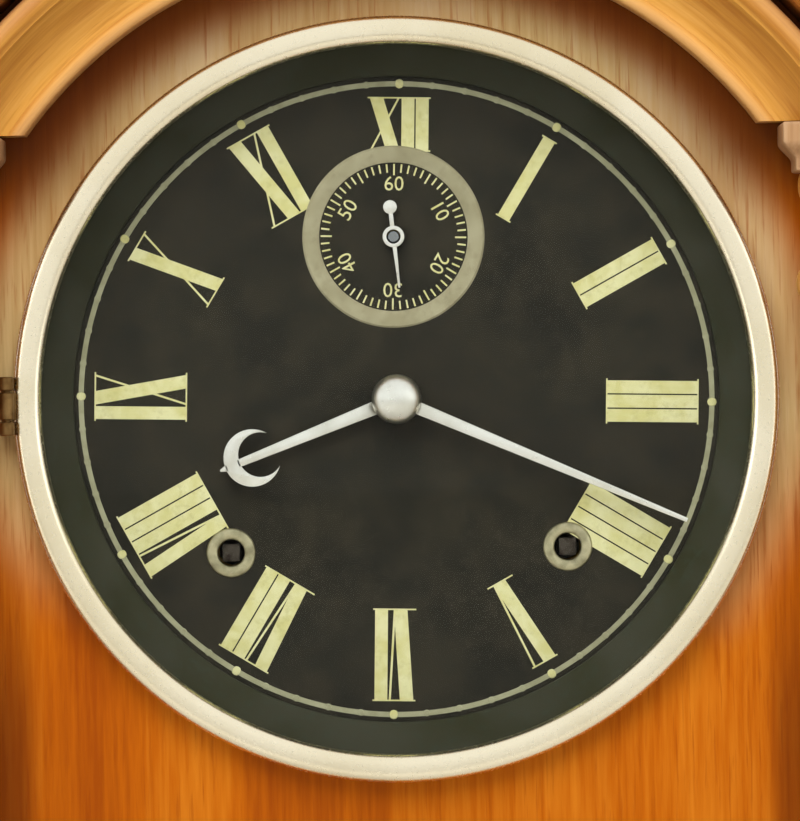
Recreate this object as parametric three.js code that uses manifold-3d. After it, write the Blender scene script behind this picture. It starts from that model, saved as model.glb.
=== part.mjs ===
// A calendar clock in an arched wooden case. A time dial sits above a calendar dial, each behind a hinged
// glazed bezel. Behind them are a spring-driven going train, a striking side, a half-second pendulum, a
// coil gong and the calendar's drums. Millimetres. +Z is up, the dials face -Y and +X is on the reader's
// right. The origin is the middle of the underside.

import * as THREE from "three";
import { mergeVertices } from "three/addons/utils/BufferGeometryUtils.js";
import Module from "manifold-3d";

const wasm = await Module();
wasm.setup();

// Clearances
const SEAT_GAP = 0.3; // between pieces that rest on each other
const RUNNING_GAP = 0.3; // radial, between a shaft and its hole
const WHEEL_GAP = 1.2; // between a turning wheel and what it passes

// Case
const BODY_DEPTH = 124; // front edge of the roof to the back
const BOARD_THICKNESS = 8; // sides and back
const PANEL_THICKNESS = 8;
const PANEL_SETBACK = 24; // the panel's face behind the roof's front edge
const STEP_MARGIN = 4; // top of the base beyond the body
const BASE_OVERHANG = 13; // foot of the base beyond its top
const PLINTH_HEIGHT = 34;
const PLINTH_INSET = 2.5; // plinth's upper step
const PLINTH_CHAMFER = 4;
const MOULDING_HEIGHT = 18;
const MOULDING_INSET = 3.5; // moulding's foot inside the plinth's
const MOULDING_FILLET = 3;
const SPRING_RISE = 54; // where the arch springs, above the time dial's centre
const ROOF_THICKNESS = 6.8;
const ROOF_LAP = 2.8; // how far the roof's ends sit on the side boards
const ARCH_GROOVE = 2.6; // between the roof and the arch moulding
const ARCH_WIDTH = 17.6;
const ARCH_PROJECTION = 20;
const ARCH_BEAD = 3;
const ARCH_ROLL = 5;
const ARCH_HOLLOW = 9; // inner bead behind the outer roll
const COLUMN_INSET = 12.5; // column's centre inside the body's edge
const COLUMN_CLEARANCE = 2.1; // column beside the hinge
const COLUMN_STANDOFF = 12; // column centre in front of the panel
const COLUMN_RADIUS = 6;
const COLUMN_RING_RADIUS = 8.5;
const COLUMN_RING_HEIGHT = 6;
const COLUMN_RING_DROP = 22; // ring from the column's end
const COLUMN_FOOT_HEIGHT = 5;
const COLUMN_BEAD_HEIGHT = 7; // bead above the foot
const COLUMN_NECK_HEIGHT = 5;
const COLUMN_WALL_GAP = 3; // foot in front of the panel
const CAPITAL_WIDTH = 20;
const CAPITAL_HEIGHT = 10;
const CAPITAL_INSET = 2.5; // neck inside the slab
const CAPITAL_NECK = 2;
const CAPITAL_BELL = 4;

// Dials and their doors
const CALENDAR_RISE = 12.9; // calendar's bezel above the base
const DIAL_GAP = 18.4; // between the two bezels
const BEZEL_OUTER_RADIUS = 76.8;
const BEZEL_WIDTH = 5.6;
const BEZEL_DEPTH = 7.3;
const OPENING_LIP = 0.8; // the panel's opening beyond the bezel's inner edge
const DIAL_LAP = 1.5; // the dial beyond the panel's opening
const DIAL_THICKNESS = 1;
const SIGHT_WIDTH = 6; // how far the sight ring leads in over the dial
const SIGHT_EDGE = 0.7; // sight ring's front edge
const GLASS_THICKNESS = 1.5;
const GLASS_RISE = 6;
const GLASS_SETBACK = 1; // glass in front of the bezel's back
const HINGE_OFFSET = 1.1; // hinge axis beyond the bezel's edge
const HINGE_PROUD = 0.8; // hinge axis in front of the bezel
const HINGE_PIN_RADIUS = 0.6;
const KNUCKLE_WALL = 0.6;
const KNUCKLE_LENGTH = 5.6;
const HINGE_FOOT = 1;
const HINGE_WEB = 2;
const SECONDS_RISE = 32.8; // seconds arbor above the time dial's centre
const WINDING_SPREAD = 68; // between the winding holes
const WINDING_DROP = 30.4; // winding holes below the time dial's centre
const WINDING_HOLE_RADIUS = 4;

// Hands, with the time that they show
const HAND_THICKNESS = 0.8;
const HAND_SPACING = 2; // from one hand to the next
const SECONDS_CLEARANCE = 1.2; // seconds hand in front of the dial
const HOUR_HAND_LENGTH = 38.4;
const HOUR_STEM = 2.2; // width at the hub
const HOUR_HUB_RIM = 1.4;
const CRESCENT_REACH = 31.4;
const CRESCENT_RADIUS = 5.8;
const CRESCENT_BORE = 4.5;
const CRESCENT_SHIFT = 1.8; // bore's centre nearer the hub, which opens the crescent
const MINUTE_HAND_CLEARANCE = 1.8; // tip inside the sight ring
const MINUTE_STEM = 2.2;
const MINUTE_HUB_RIM = 2;
const SECONDS_HAND_LENGTH = 10.4;
const SECONDS_TAIL = 6;
const SECONDS_STEM = 0.9;
const SECONDS_HUB_RIM = 0.8;
const COUNTERPOISE_RADIUS = 1.4;
const DATE_HAND_CLEARANCE = 13.2;
const DATE_TAIL = 14;
const DATE_STEM = 2.2;
const DATE_HUB_RIM = 2.4;
const HAND_TIP = 0.6; // width at a hand's tip
const HUB_LAP = 0.6; // how far a stem runs into its hub
const HOUR_ANGLE = 248.9; // degrees clockwise from twelve
const MINUTE_ANGLE = 113.7;
const SECONDS_ANGLE = 174.4;
const DATE_ANGLE = 151;
const NUT_RADIUS = 5.5;
const NUT_HEIGHT = 3;

// Movement frame
const MOTION_SPACE = 14.7; // from the dial's back to the front plate
const PLATE_THICKNESS = 2;
const PENDULUM_SPACE = 36; // between the train and the back board
const PLATE_HALF_WIDTH = 61;
const PLATE_TOP = 66;
const PLATE_BOTTOM = 68;
const PILLAR_RADIUS = 3.5;
const PILLAR_NECK_RADIUS = 1.8;
const PILLAR_HEAD = 3;
const UPPER_PILLAR_X = 34;
const UPPER_PILLAR_RISE = 58;
const LOWER_PILLAR_X = 54;
const LOWER_PILLAR_DROP = 60;

// Trains
const GREAT_TEETH = 36;
const SECOND_PINION_LEAVES = 6;
const SECOND_TEETH = 24;
const CENTRE_PINION_LEAVES = 6;
const CENTRE_TEETH = 48;
const THIRD_PINION_LEAVES = 6;
const THIRD_TEETH = 45;
const ESCAPE_PINION_LEAVES = 6;
const ESCAPE_TEETH = 60;
const CANNON_LEAVES = 8;
const MINUTE_TEETH = 24;
const MINUTE_PINION_LEAVES = 6;
const HOUR_TEETH = 24;
const WHEEL_THICKNESS = 1.5;
const PINION_LENGTH = 3.4;
const ARBOR_RADIUS = 1.1;
const ARBOR_END = 1; // pivot beyond its plate
const WHEEL_HUB_RADIUS = 5;
const WHEEL_ARMS = 4;
const ARM_WIDTH = 2.7;
const RIM_DEPTH = 4; // modules, from the pitch circle in
const THIRD_OFFSET = 12; // third arbor beside the line from the centre to the seconds arbor
const SECOND_SWING = 25; // degrees from the line between centre and winding arbors
const ESCAPE_RADIUS = 15;
const ESCAPE_TOOTH_DEPTH = 1.4;
const ESCAPE_RIM = 2;
const ESCAPE_ARM = 2;
const ESCAPE_ARMS = 3;
const BARREL_RADIUS = 17;
const BARREL_CHAMFER = 1.5;
const WINDING_ARBOR_RADIUS = 2.6;
const WINDING_SQUARE = 3.4;
const WINDING_SQUARE_LENGTH = 8;
const WINDING_SETBACK = 1.5; // square behind the dial
const MINUTE_STUD_DROP = 18; // minute wheel's stud below the centre
const PIPE_WALL = 0.7;
const CANNON_STANDOFF = 3; // cannon's leaves in front of the front plate
const HOUR_STANDOFF = 7; // hour wheel in front of the front plate
const MINUTE_PINION_STANDOFF = 9.5; // front of the minute pinion
const PIN_WHEEL_RADIUS = 15;
const PIN_COUNT = 6;
const PIN_RADIUS = 0.7;
const PIN_INSET = 2; // pins inside the wheel's edge
const PIN_PROUD = 1;

// Pendulum and escapement
const PALLET_RISE = 21.2; // pallet arbor above the seconds arbor
const PALLET_SPAN = 45; // degrees from the vertical to each pallet
const PALLET_CLEARANCE = 1.5; // pallets outside the escape wheel at rest
const PALLET_WIDTH = 1.6;
const ANCHOR_DEPTH = 4;
const PENDULUM_LENGTH = 248; // pivot to the bob's centre: beats half seconds
const PENDULUM_BEHIND_PLATE = 14;
const ROD_RADIUS = 1.5;
const SPRING_LENGTH = 12;
const SPRING_WIDTH = 6;
const SPRING_THICKNESS = 0.5;
const BOB_RADIUS = 24;
const BOB_THICKNESS = 8;
const RATING_NUT_RADIUS = 5;
const RATING_NUT_HEIGHT = 5;
const CRUTCH_LENGTH = 42;
const CRUTCH_GAP = 3; // crutch behind the back plate
const CRUTCH_THICKNESS = 1.5;
const CRUTCH_HALF_WIDTH = 1.5;
const PRONG_THICKNESS = 1.3;
const PRONG_HEIGHT = 3;
const COCK_HALF_WIDTH = 9;
const COCK_ARM_HALF = 4;
const COCK_FOOT = 2;
const COCK_RISE = 6; // cock's arm above the jaw's end
const JAW_HALF = 2;
const CHOP_HEIGHT = 5; // block that holds the rod to its spring
const THREAD_END = 4; // rod below the rating nut
const BOB_EDGE = 1;

// Gong and hammer
const GONG_X = 12;
const GONG_DROP = 112; // gong's centre below the time dial's centre
const GONG_RADIUS = 34;
const GONG_INNER_RADIUS = 9;
const GONG_TURNS = 2.5;
const GONG_WIRE_RADIUS = 1.2;
const GONG_STANDOFF = 8; // wire in front of the back board
const STRIKE_ANGLE = 150; // degrees, where the hammer meets the gong
const HAMMER_PIVOT_DROP = 60;
const HAMMER_HEAD_RADIUS = 3.2;
const HAMMER_GAP = 0.6;
const HAMMER_HEAD_HALF = 4;
const HAMMER_ARM_HALF = 1.2;
const HAMMER_ARM_THICKNESS = 2;
const HAMMER_ARM_END = 2.5; // arm above its arbor
const GONG_POST_PROUD = 4; // post in front of the wire
const GONG_POST_CAP = 1;
const GONG_POST_LAP = 1; // post beyond the wire's start
const WIRE_PAST_HAMMER = 40; // degrees of wire beyond the hammer

// Calendar work
const WINDOW_WIDTH = 26;
const WINDOW_HEIGHT = 9;
const WINDOW_OFFSET = 27; // window's centre beside the calendar dial's centre
const DRUM_RADIUS = 11;
const DRUM_GAP = 0.6;
const DRUM_MARGIN = 2; // drum beyond each end of its window
const EAR_THICKNESS = 2;
const EAR_HALF = 4;
const RATCHET_DEPTH = 1;
const DATE_TEETH = 31;
const POST_RADIUS = 2;

// Places that follow from the sizes
const DEGREE = Math.PI / 180;
const bodyFront = -BODY_DEPTH / 2;
const panelFront = bodyFront + PANEL_SETBACK;
const panelBack = panelFront + PANEL_THICKNESS;
const backFront = BODY_DEPTH / 2 - BOARD_THICKNESS;
const baseTop = PLINTH_HEIGHT + SEAT_GAP + MOULDING_HEIGHT;
const calendarHeight = baseTop + CALENDAR_RISE + BEZEL_OUTER_RADIUS;
const timeHeight = calendarHeight + DIAL_GAP + 2 * BEZEL_OUTER_RADIUS;
const springHeight = timeHeight + SPRING_RISE;
const pinBore = HINGE_PIN_RADIUS + RUNNING_GAP;
const knuckleRadius = pinBore + KNUCKLE_WALL;
const hingeX = -(BEZEL_OUTER_RADIUS + HINGE_OFFSET);
const columnX = knuckleRadius - hingeX + COLUMN_CLEARANCE + COLUMN_RADIUS;
const bodyWidth = 2 * (columnX + COLUMN_INSET);
const roofRadius = Math.hypot(bodyWidth / 2 - ROOF_LAP, SPRING_RISE);
const archOuter = roofRadius - ARCH_GROOVE;
const archInner = archOuter - ARCH_WIDTH;
const bezelInnerRadius = BEZEL_OUTER_RADIUS - BEZEL_WIDTH;
const sightRadius = bezelInnerRadius - SIGHT_WIDTH;
const openingRadius = bezelInnerRadius + OPENING_LIP;
const dialFront = panelBack + SEAT_GAP;
const dialBack = dialFront + DIAL_THICKNESS;
const frontPlate = dialBack + MOTION_SPACE;
const trainFront = frontPlate + PLATE_THICKNESS;
const trainBack = backFront - PENDULUM_SPACE;
const backPlateBack = trainBack + PLATE_THICKNESS;
const arborFront = frontPlate - ARBOR_END;
const arborBack = backPlateBack + ARBOR_END;
const pendulumDepth = backPlateBack + PENDULUM_BEHIND_PLATE;
const secondsHandBack = dialFront - SECONDS_CLEARANCE;
const hourHandBack = secondsHandBack - HAND_SPACING;
const minuteHandBack = hourHandBack - HAND_SPACING;
const cannonBore = ARBOR_RADIUS + RUNNING_GAP;
const cannonRadius = cannonBore + PIPE_WALL;
const hourBore = cannonRadius + RUNNING_GAP;
const hourPipeRadius = hourBore + PIPE_WALL;

// The wheels stand in six layers between the plates, counted from the front.
const LAYERS = 6;
const layer = (index) => trainFront + ((index + 0.5) * (trainBack - trainFront)) / LAYERS;
const GREAT_LAYER = layer(0);
const CENTRE_LAYER = layer(1);
const THIRD_LAYER = layer(2);
const SECOND_LAYER = layer(3);
const ESCAPE_LAYER = layer(4);
const PIN_LAYER = layer(5);

// Arbors as [x, z] from the time dial's centre
const centreArbor = [0, 0];
const escapeArbor = [0, SECONDS_RISE];
const thirdArbor = [THIRD_OFFSET, SECONDS_RISE / 2];
const palletArbor = [0, SECONDS_RISE + PALLET_RISE];
const minuteStud = [0, -MINUTE_STUD_DROP];
const windingArbor = [WINDING_SPREAD / 2, -WINDING_DROP];

const distance = (from, to) => Math.hypot(to[0] - from[0], to[1] - from[1]);
const direction = (from, to) => Math.atan2(to[1] - from[1], to[0] - from[0]);
const mirrored = ([x, z]) => [-x, z];

// A wheel and pinion that mesh over the given distance share this module.
const moduleFor = (reach, wheelTeeth, pinionLeaves) => (2 * reach) / (wheelTeeth + pinionLeaves);
const centreModule = moduleFor(distance(centreArbor, thirdArbor), CENTRE_TEETH, THIRD_PINION_LEAVES);
const thirdModule = moduleFor(distance(thirdArbor, escapeArbor), THIRD_TEETH, ESCAPE_PINION_LEAVES);

// Tooth forms in modules: how far the tip and root lie from the pitch circle, and half widths at both.
const WHEEL_TOOTH = { tip: 1.2, root: 1.5, tipHalf: 0.28, rootHalf: 0.8 };
const PINION_LEAF = { tip: 0.8, root: 1.6, tipHalf: 0.22, rootHalf: 0.55 };
const tipRadius = (teeth, module, form) => (teeth / 2 + form.tip) * module;

// The second arbor passes just outside the centre wheel, on the way to the winding arbor.
const secondReach = tipRadius(CENTRE_TEETH, centreModule, WHEEL_TOOTH) + ARBOR_RADIUS + WHEEL_GAP;
const secondAngle = direction(centreArbor, windingArbor) + SECOND_SWING * DEGREE;
const secondArbor = [secondReach * Math.cos(secondAngle), secondReach * Math.sin(secondAngle)];
const secondModule = moduleFor(secondReach, SECOND_TEETH, CENTRE_PINION_LEAVES);
const greatModule = moduleFor(distance(secondArbor, windingArbor), GREAT_TEETH, SECOND_PINION_LEAVES);
const cannonModule = moduleFor(MINUTE_STUD_DROP, MINUTE_TEETH, CANNON_LEAVES);
const hourModule = moduleFor(MINUTE_STUD_DROP, HOUR_TEETH, MINUTE_PINION_LEAVES);

// Solids and booleans

function weld(geometry) {
  const bare = geometry.index ? geometry.toNonIndexed() : geometry.clone();
  for (const name of Object.keys(bare.attributes)) {
    if (name !== "position") bare.deleteAttribute(name);
  }
  const welded = mergeVertices(bare, 1e-4);
  const corners = welded.index.array;
  const kept = [];
  for (let i = 0; i < corners.length; i += 3) {
    const [a, b, c] = corners.subarray(i, i + 3);
    if (a !== b && b !== c && c !== a) kept.push(a, b, c);
  }
  welded.setIndex(kept);
  return welded;
}

function volume(geometry) {
  const corners = [new THREE.Vector3(), new THREE.Vector3(), new THREE.Vector3()];
  let total = 0;
  for (let i = 0; i < geometry.index.count; i += 3) {
    const place = geometry.attributes.position;
    corners.forEach((corner, k) => corner.fromBufferAttribute(place, geometry.index.getX(i + k)));
    total += corners[0].dot(corners[1].clone().cross(corners[2])) / 6;
  }
  return total;
}

// The same closed mesh with shared corners and every face pointing out.
function outward(geometry) {
  const welded = weld(geometry);
  if (volume(welded) < 0) welded.setIndex(Array.from(welded.index.array).reverse());
  return welded;
}

function toSolid(geometry) {
  const welded = outward(geometry);
  const mesh = new wasm.Mesh({
    numProp: 3,
    vertProperties: new Float32Array(welded.attributes.position.array),
    triVerts: new Uint32Array(welded.index.array),
  });
  return new wasm.Manifold(mesh);
}

function fromSolid(solid) {
  const mesh = solid.getMesh();
  const geometry = new THREE.BufferGeometry();
  geometry.setAttribute("position", new THREE.BufferAttribute(new Float32Array(mesh.vertProperties), 3));
  geometry.setIndex(Array.from(mesh.triVerts));
  return geometry;
}

const fuse = (...pieces) => fromSolid(pieces.map(toSolid).reduce((whole, piece) => whole.add(piece)));

function cut(body, ...tools) {
  return fromSolid(tools.map(toSolid).reduce((rest, tool) => rest.subtract(tool), toSolid(body)));
}

// Forms

// An upright plate: the shape's x runs right and its y up, between two depths.
function plate(shape, front, back, curveSegments = 8) {
  const settings = { depth: back - front, bevelEnabled: false, curveSegments };
  const geometry = new THREE.ExtrudeGeometry(shape, settings);
  return geometry.rotateX(Math.PI / 2).translate(0, back, 0);
}

// A block from its lowest corner to its highest.
function block(low, high) {
  const [width, depth, height] = high.map((value, axis) => value - low[axis]);
  const middle = high.map((value, axis) => (value + low[axis]) / 2);
  return new THREE.BoxGeometry(width, depth, height).translate(...middle);
}

// A piece turned about the depth axis: its profile lists [radius, depth] and closes on itself.
function turned(profile, segments = 48) {
  const points = [...profile, profile[0]].map(([radius, depth]) => new THREE.Vector2(radius, depth));
  return outward(new THREE.LatheGeometry(points, segments));
}

// A piece turned about a vertical axis: its profile lists [radius, height].
const turnedUpright = (profile, segments = 16) => turned(profile, segments).rotateX(Math.PI / 2);

// A stepped round shaft along the depth axis, from its front end: each step is [radius, depth it ends at].
function shaft(front, steps, segments = 10) {
  const profile = [[0, front]];
  let depth = front;
  for (const [radius, end] of steps) {
    profile.push([radius, depth], [radius, end]);
    depth = end;
  }
  profile.push([0, depth]);
  return turned(profile, segments);
}

// A mitred block: each profile point [half width, half depth, height] is one rectangle of it.
function mitred(profile) {
  const positions = [];
  const index = [];
  for (const [x, y, z] of profile) positions.push(-x, -y, z, x, -y, z, x, y, z, -x, y, z);
  for (let ring = 0; ring + 1 < profile.length; ring++) {
    for (let corner = 0; corner < 4; corner++) {
      const here = ring * 4 + corner;
      const next = ring * 4 + ((corner + 1) % 4);
      index.push(here, next, next + 4, here, next + 4, here + 4);
    }
  }
  const top = (profile.length - 1) * 4;
  index.push(0, 2, 1, 0, 3, 2, top, top + 1, top + 2, top, top + 2, top + 3);
  const geometry = new THREE.BufferGeometry();
  geometry.setAttribute("position", new THREE.Float32BufferAttribute(positions, 3));
  geometry.setIndex(index);
  return geometry;
}

// A closed outline through points.
const outline = (points) => new THREE.Shape(points.map(([x, y]) => new THREE.Vector2(x, y)));

function disc(radius, bore = 0) {
  const shape = new THREE.Shape().absarc(0, 0, radius, 0, 2 * Math.PI);
  if (bore > 0) shape.holes.push(hole([0, 0], bore, 12));
  return shape;
}

// A hole through a plate: a polygon whose sides touch the given circle.
function hole([x, z], radius, sides = 8) {
  const corner = radius / Math.cos(Math.PI / sides);
  const points = [];
  for (let side = 0; side < sides; side++) {
    const angle = ((side + 0.5) * 2 * Math.PI) / sides;
    points.push(new THREE.Vector2(x + corner * Math.cos(angle), z + corner * Math.sin(angle)));
  }
  return new THREE.Path(points);
}

// A toothed outline whose first tooth points along the phase angle.
function toothed(teeth, module, form, phase) {
  const points = [];
  const pitchRadius = (teeth * module) / 2;
  const root = pitchRadius - form.root * module;
  const tip = pitchRadius + form.tip * module;
  for (let tooth = 0; tooth < teeth; tooth++) {
    const middle = phase + (tooth * 2 * Math.PI) / teeth;
    const rootHalf = (form.rootHalf * module) / root;
    const tipHalf = (form.tipHalf * module) / tip;
    for (const [radius, angle] of [[root, -rootHalf], [tip, -tipHalf], [tip, tipHalf], [root, rootHalf]]) {
      points.push([radius * Math.cos(middle + angle), radius * Math.sin(middle + angle)]);
    }
  }
  return outline(points);
}

// A wheel's tooth points at its mate along the given angle, and a pinion's gap faces back to it.
const wheelShape = (teeth, module, angle) => toothed(teeth, module, WHEEL_TOOTH, angle);
const pinionShape = (leaves, module, angle) =>
  toothed(leaves, module, PINION_LEAF, angle + Math.PI + Math.PI / leaves);

// Opens a wheel between its hub and rim, leaving straight arms.
function crossed(shape, hubRadius, rimRadius, arms, armWidth) {
  for (let arm = 0; arm < arms; arm++) {
    const start = (arm * 2 * Math.PI) / arms;
    const end = start + (2 * Math.PI) / arms;
    const outer = Math.asin(armWidth / 2 / rimRadius);
    const inner = Math.asin(armWidth / 2 / hubRadius);
    const window = new THREE.Path().absarc(0, 0, rimRadius, start + outer, end - outer);
    window.absarc(0, 0, hubRadius, end - inner, start + inner, true);
    shape.holes.push(window);
  }
  return shape;
}

const layered = (shape, middle, thickness, segments = 2) =>
  plate(shape, middle - thickness / 2, middle + thickness / 2, segments);

// Finishes, one new material for each mesh
const finish = (color, roughness, metalness) => () =>
  new THREE.MeshStandardMaterial({ color, roughness, metalness });
const darkOak = finish(0xb5661c, 0.4, 0);
const goldenOak = finish(0xdea33f, 0.35, 0);
const plainPine = finish(0xc09a62, 0.7, 0);
const nickel = finish(0xf0e4cc, 0.2, 1);
const handNickel = finish(0xd8d4c8, 0.3, 1);
const brass = finish(0xc9a24a, 0.35, 1);
const steel = finish(0x8b8d90, 0.35, 1);
const blackPaint = finish(0x2b2a26, 0.5, 0);
const paper = finish(0xe9dfc2, 0.8, 0);
const clearGlass = () => {
  const material = finish(0xe8f0ee, 0.05, 0)();
  material.transparent = true;
  material.opacity = 0.25;
  return material;
};

// The clock, with groups for the movement and the calendar at their dials' centres
const clock = new THREE.Group();
const movement = new THREE.Group();
const calendar = new THREE.Group();
movement.position.z = timeHeight;
calendar.position.z = calendarHeight;
clock.add(movement, calendar);

function add(group, name, geometry, material, [x, z] = [0, 0], turn = 0) {
  const mesh = new THREE.Mesh(geometry, material());
  mesh.name = name;
  mesh.position.set(x, 0, z);
  mesh.rotation.y = turn * DEGREE;
  group.add(mesh);
}

// Base

function baseProfile(points) {
  const halfWidth = bodyWidth / 2 + STEP_MARGIN;
  const halfDepth = BODY_DEPTH / 2 + STEP_MARGIN;
  return points.map(([overhang, height]) => [halfWidth + overhang, halfDepth + overhang, height]);
}

function basePlinth() {
  return mitred(baseProfile([
    [BASE_OVERHANG, 0],
    [BASE_OVERHANG, PLINTH_HEIGHT - 2 * PLINTH_CHAMFER],
    [BASE_OVERHANG - PLINTH_INSET, PLINTH_HEIGHT - PLINTH_CHAMFER],
    [BASE_OVERHANG - PLINTH_INSET, PLINTH_HEIGHT],
  ]));
}

// A hollow curve that climbs from the plinth to a flat top.
function baseMoulding() {
  const foot = BASE_OVERHANG - MOULDING_INSET;
  const fillet = MOULDING_FILLET;
  const bottom = PLINTH_HEIGHT + SEAT_GAP;
  const steps = 6;
  const points = [[foot, bottom], [foot, bottom + fillet]];
  for (let step = 0; step <= steps; step++) {
    const turn = ((step / steps) * Math.PI) / 2;
    const climb = MOULDING_HEIGHT - 2 * fillet;
    points.push([foot * (1 - Math.sin(turn)), bottom + fillet + climb * (1 - Math.cos(turn))]);
  }
  points.push([fillet / 2, baseTop - fillet], [fillet / 2, baseTop]);
  return mitred(baseProfile(points));
}

// Boards

function sideBoard(side) {
  const inner = bodyWidth / 2 - BOARD_THICKNESS;
  const [low, high] = side < 0 ? [-bodyWidth / 2, -inner] : [inner, bodyWidth / 2];
  return block(
    [low, panelBack + SEAT_GAP, baseTop + SEAT_GAP],
    [high, backFront - SEAT_GAP, springHeight - SEAT_GAP],
  );
}

// The outline of a board that closes the case: straight sides, then an arc under the roof.
function archedOutline() {
  const radius = roofRadius - SEAT_GAP;
  const half = bodyWidth / 2;
  const springing = Math.asin(SPRING_RISE / radius);
  const shape = new THREE.Shape();
  shape.moveTo(-half, baseTop + SEAT_GAP);
  shape.lineTo(half, baseTop + SEAT_GAP);
  shape.lineTo(half, springHeight - SEAT_GAP);
  shape.lineTo(radius * Math.cos(springing), springHeight - SEAT_GAP);
  shape.absarc(0, timeHeight, radius, springing, Math.PI - springing);
  shape.lineTo(-radius * Math.cos(springing), springHeight - SEAT_GAP);
  shape.lineTo(-half, springHeight - SEAT_GAP);
  return shape;
}

function frontPanel() {
  const shape = archedOutline();
  for (const height of [calendarHeight, timeHeight]) {
    shape.holes.push(new THREE.Path().absarc(0, height, openingRadius, 0, 2 * Math.PI));
  }
  return plate(shape, panelFront, panelBack, 24);
}

const backBoard = () => plate(archedOutline(), backFront, BODY_DEPTH / 2, 24);

// The part of a turned ring that stands above the springing of the arch.
function archOf(profile) {
  const reach = roofRadius + 2 * ROOF_THICKNESS;
  const below = block([-reach, -BODY_DEPTH, -reach], [reach, BODY_DEPTH, SPRING_RISE]);
  return cut(turned(profile, 72), below);
}

const roofArch = () => archOf([
  [roofRadius, bodyFront],
  [roofRadius + ROOF_THICKNESS, bodyFront],
  [roofRadius + ROOF_THICKNESS, BODY_DEPTH / 2],
  [roofRadius, BODY_DEPTH / 2],
]);

// An inner bead, a hollow and an outer roll, rising towards the roof.
function archMoulding() {
  const back = panelFront - SEAT_GAP;
  const front = panelFront - ARCH_PROJECTION;
  const bead = ARCH_BEAD;
  const roll = ARCH_ROLL;
  const hollow = ARCH_HOLLOW;
  const profile = [[archInner, back], [archInner, front + hollow + bead / 2]];
  profile.push([archInner + bead / 2, front + hollow], [archInner + bead, front + hollow + bead / 3]);
  const steps = 4;
  for (let step = 1; step <= steps; step++) {
    const share = step / steps;
    const radius = archInner + bead + share * (ARCH_WIDTH - bead - roll);
    profile.push([radius, front + hollow + bead / 3 - (hollow + bead / 3 - roll / 5) * share * share]);
  }
  profile.push([archOuter - roll / 2, front], [archOuter - roll / 10, front + roll / 5]);
  profile.push([archOuter, front + roll / 2], [archOuter, back]);
  return archOf(profile);
}

// Columns

const capitalBottom = springHeight - SEAT_GAP - CAPITAL_HEIGHT;
const columnY = panelFront - COLUMN_STANDOFF;

// A ring turned on a column at a height.
const ring = (height) => [
  [COLUMN_RADIUS, height - COLUMN_RING_HEIGHT / 2],
  [COLUMN_RING_RADIUS, height - COLUMN_RING_HEIGHT / 4],
  [COLUMN_RING_RADIUS, height + COLUMN_RING_HEIGHT / 4],
  [COLUMN_RADIUS, height + COLUMN_RING_HEIGHT / 2],
];

function column() {
  const foot = baseTop + SEAT_GAP;
  const head = capitalBottom - SEAT_GAP;
  const footRadius = COLUMN_STANDOFF - COLUMN_WALL_GAP;
  const beadFoot = foot + COLUMN_FOOT_HEIGHT;
  const swell = (COLUMN_RING_RADIUS - COLUMN_RADIUS) / 2;
  const neckFoot = head - COLUMN_NECK_HEIGHT;
  return turnedUpright([
    [0, foot],
    [footRadius, foot],
    [footRadius, beadFoot],
    [COLUMN_RADIUS, beadFoot],
    [COLUMN_RADIUS + swell, beadFoot + COLUMN_BEAD_HEIGHT / 4],
    [COLUMN_RADIUS + swell, beadFoot + COLUMN_BEAD_HEIGHT / 2],
    [COLUMN_RADIUS, beadFoot + COLUMN_BEAD_HEIGHT],
    ...ring(foot + COLUMN_RING_DROP),
    ...ring(head - COLUMN_RING_DROP),
    [COLUMN_RADIUS, neckFoot],
    [COLUMN_RADIUS + swell, neckFoot + COLUMN_NECK_HEIGHT / 3],
    [COLUMN_RADIUS + swell, head - COLUMN_NECK_HEIGHT / 3],
    [COLUMN_RADIUS, head],
    [0, head],
  ]).translate(0, columnY, 0);
}

// A square capital that leans back to the panel.
function capital() {
  const half = CAPITAL_WIDTH / 2;
  const deep = COLUMN_STANDOFF - SEAT_GAP;
  const inset = CAPITAL_INSET;
  const top = capitalBottom + CAPITAL_HEIGHT;
  const neckTop = capitalBottom + CAPITAL_NECK;
  return mitred([
    [half - inset, deep - inset, capitalBottom],
    [half - inset, deep - inset, neckTop],
    [half, deep, neckTop + CAPITAL_BELL],
    [half, deep, top - SEAT_GAP],
  ]).translate(0, columnY, 0);
}

add(clock, "base_plinth", basePlinth(), darkOak);
add(clock, "base_moulding", baseMoulding(), goldenOak);
add(clock, "front_panel", frontPanel(), darkOak);
add(clock, "back_board", backBoard(), plainPine);
add(movement, "roof_arch", roofArch(), darkOak);
add(movement, "arch_moulding", archMoulding(), goldenOak);
for (const [name, side] of [["left", -1], ["right", 1]]) {
  add(clock, `${name}_side_board`, sideBoard(side), darkOak);
  add(clock, `${name}_column`, column(), goldenOak, [side * columnX, 0]);
  add(clock, `${name}_capital`, capital(), darkOak, [side * columnX, 0]);
}

// Doors: bezel, glass and hinge

const bezelBack = panelFront - SEAT_GAP;
const bezelFront = bezelBack - BEZEL_DEPTH;
const glassBack = bezelBack - GLASS_SETBACK;
const glassEdge = glassBack - GLASS_THICKNESS;
const glassRadius = (bezelInnerRadius + BEZEL_OUTER_RADIUS) / 2;
const hingeY = bezelFront - HINGE_PROUD;

// One knuckle of a hinge: an upright tube or pin between two heights.
function upright(radius, bottom, top, bore = 0) {
  const profile = [[bore, bottom], [radius, bottom], [radius, top], [bore, top]];
  return turnedUpright(profile, 8).translate(hingeX, hingeY, 0);
}

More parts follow.
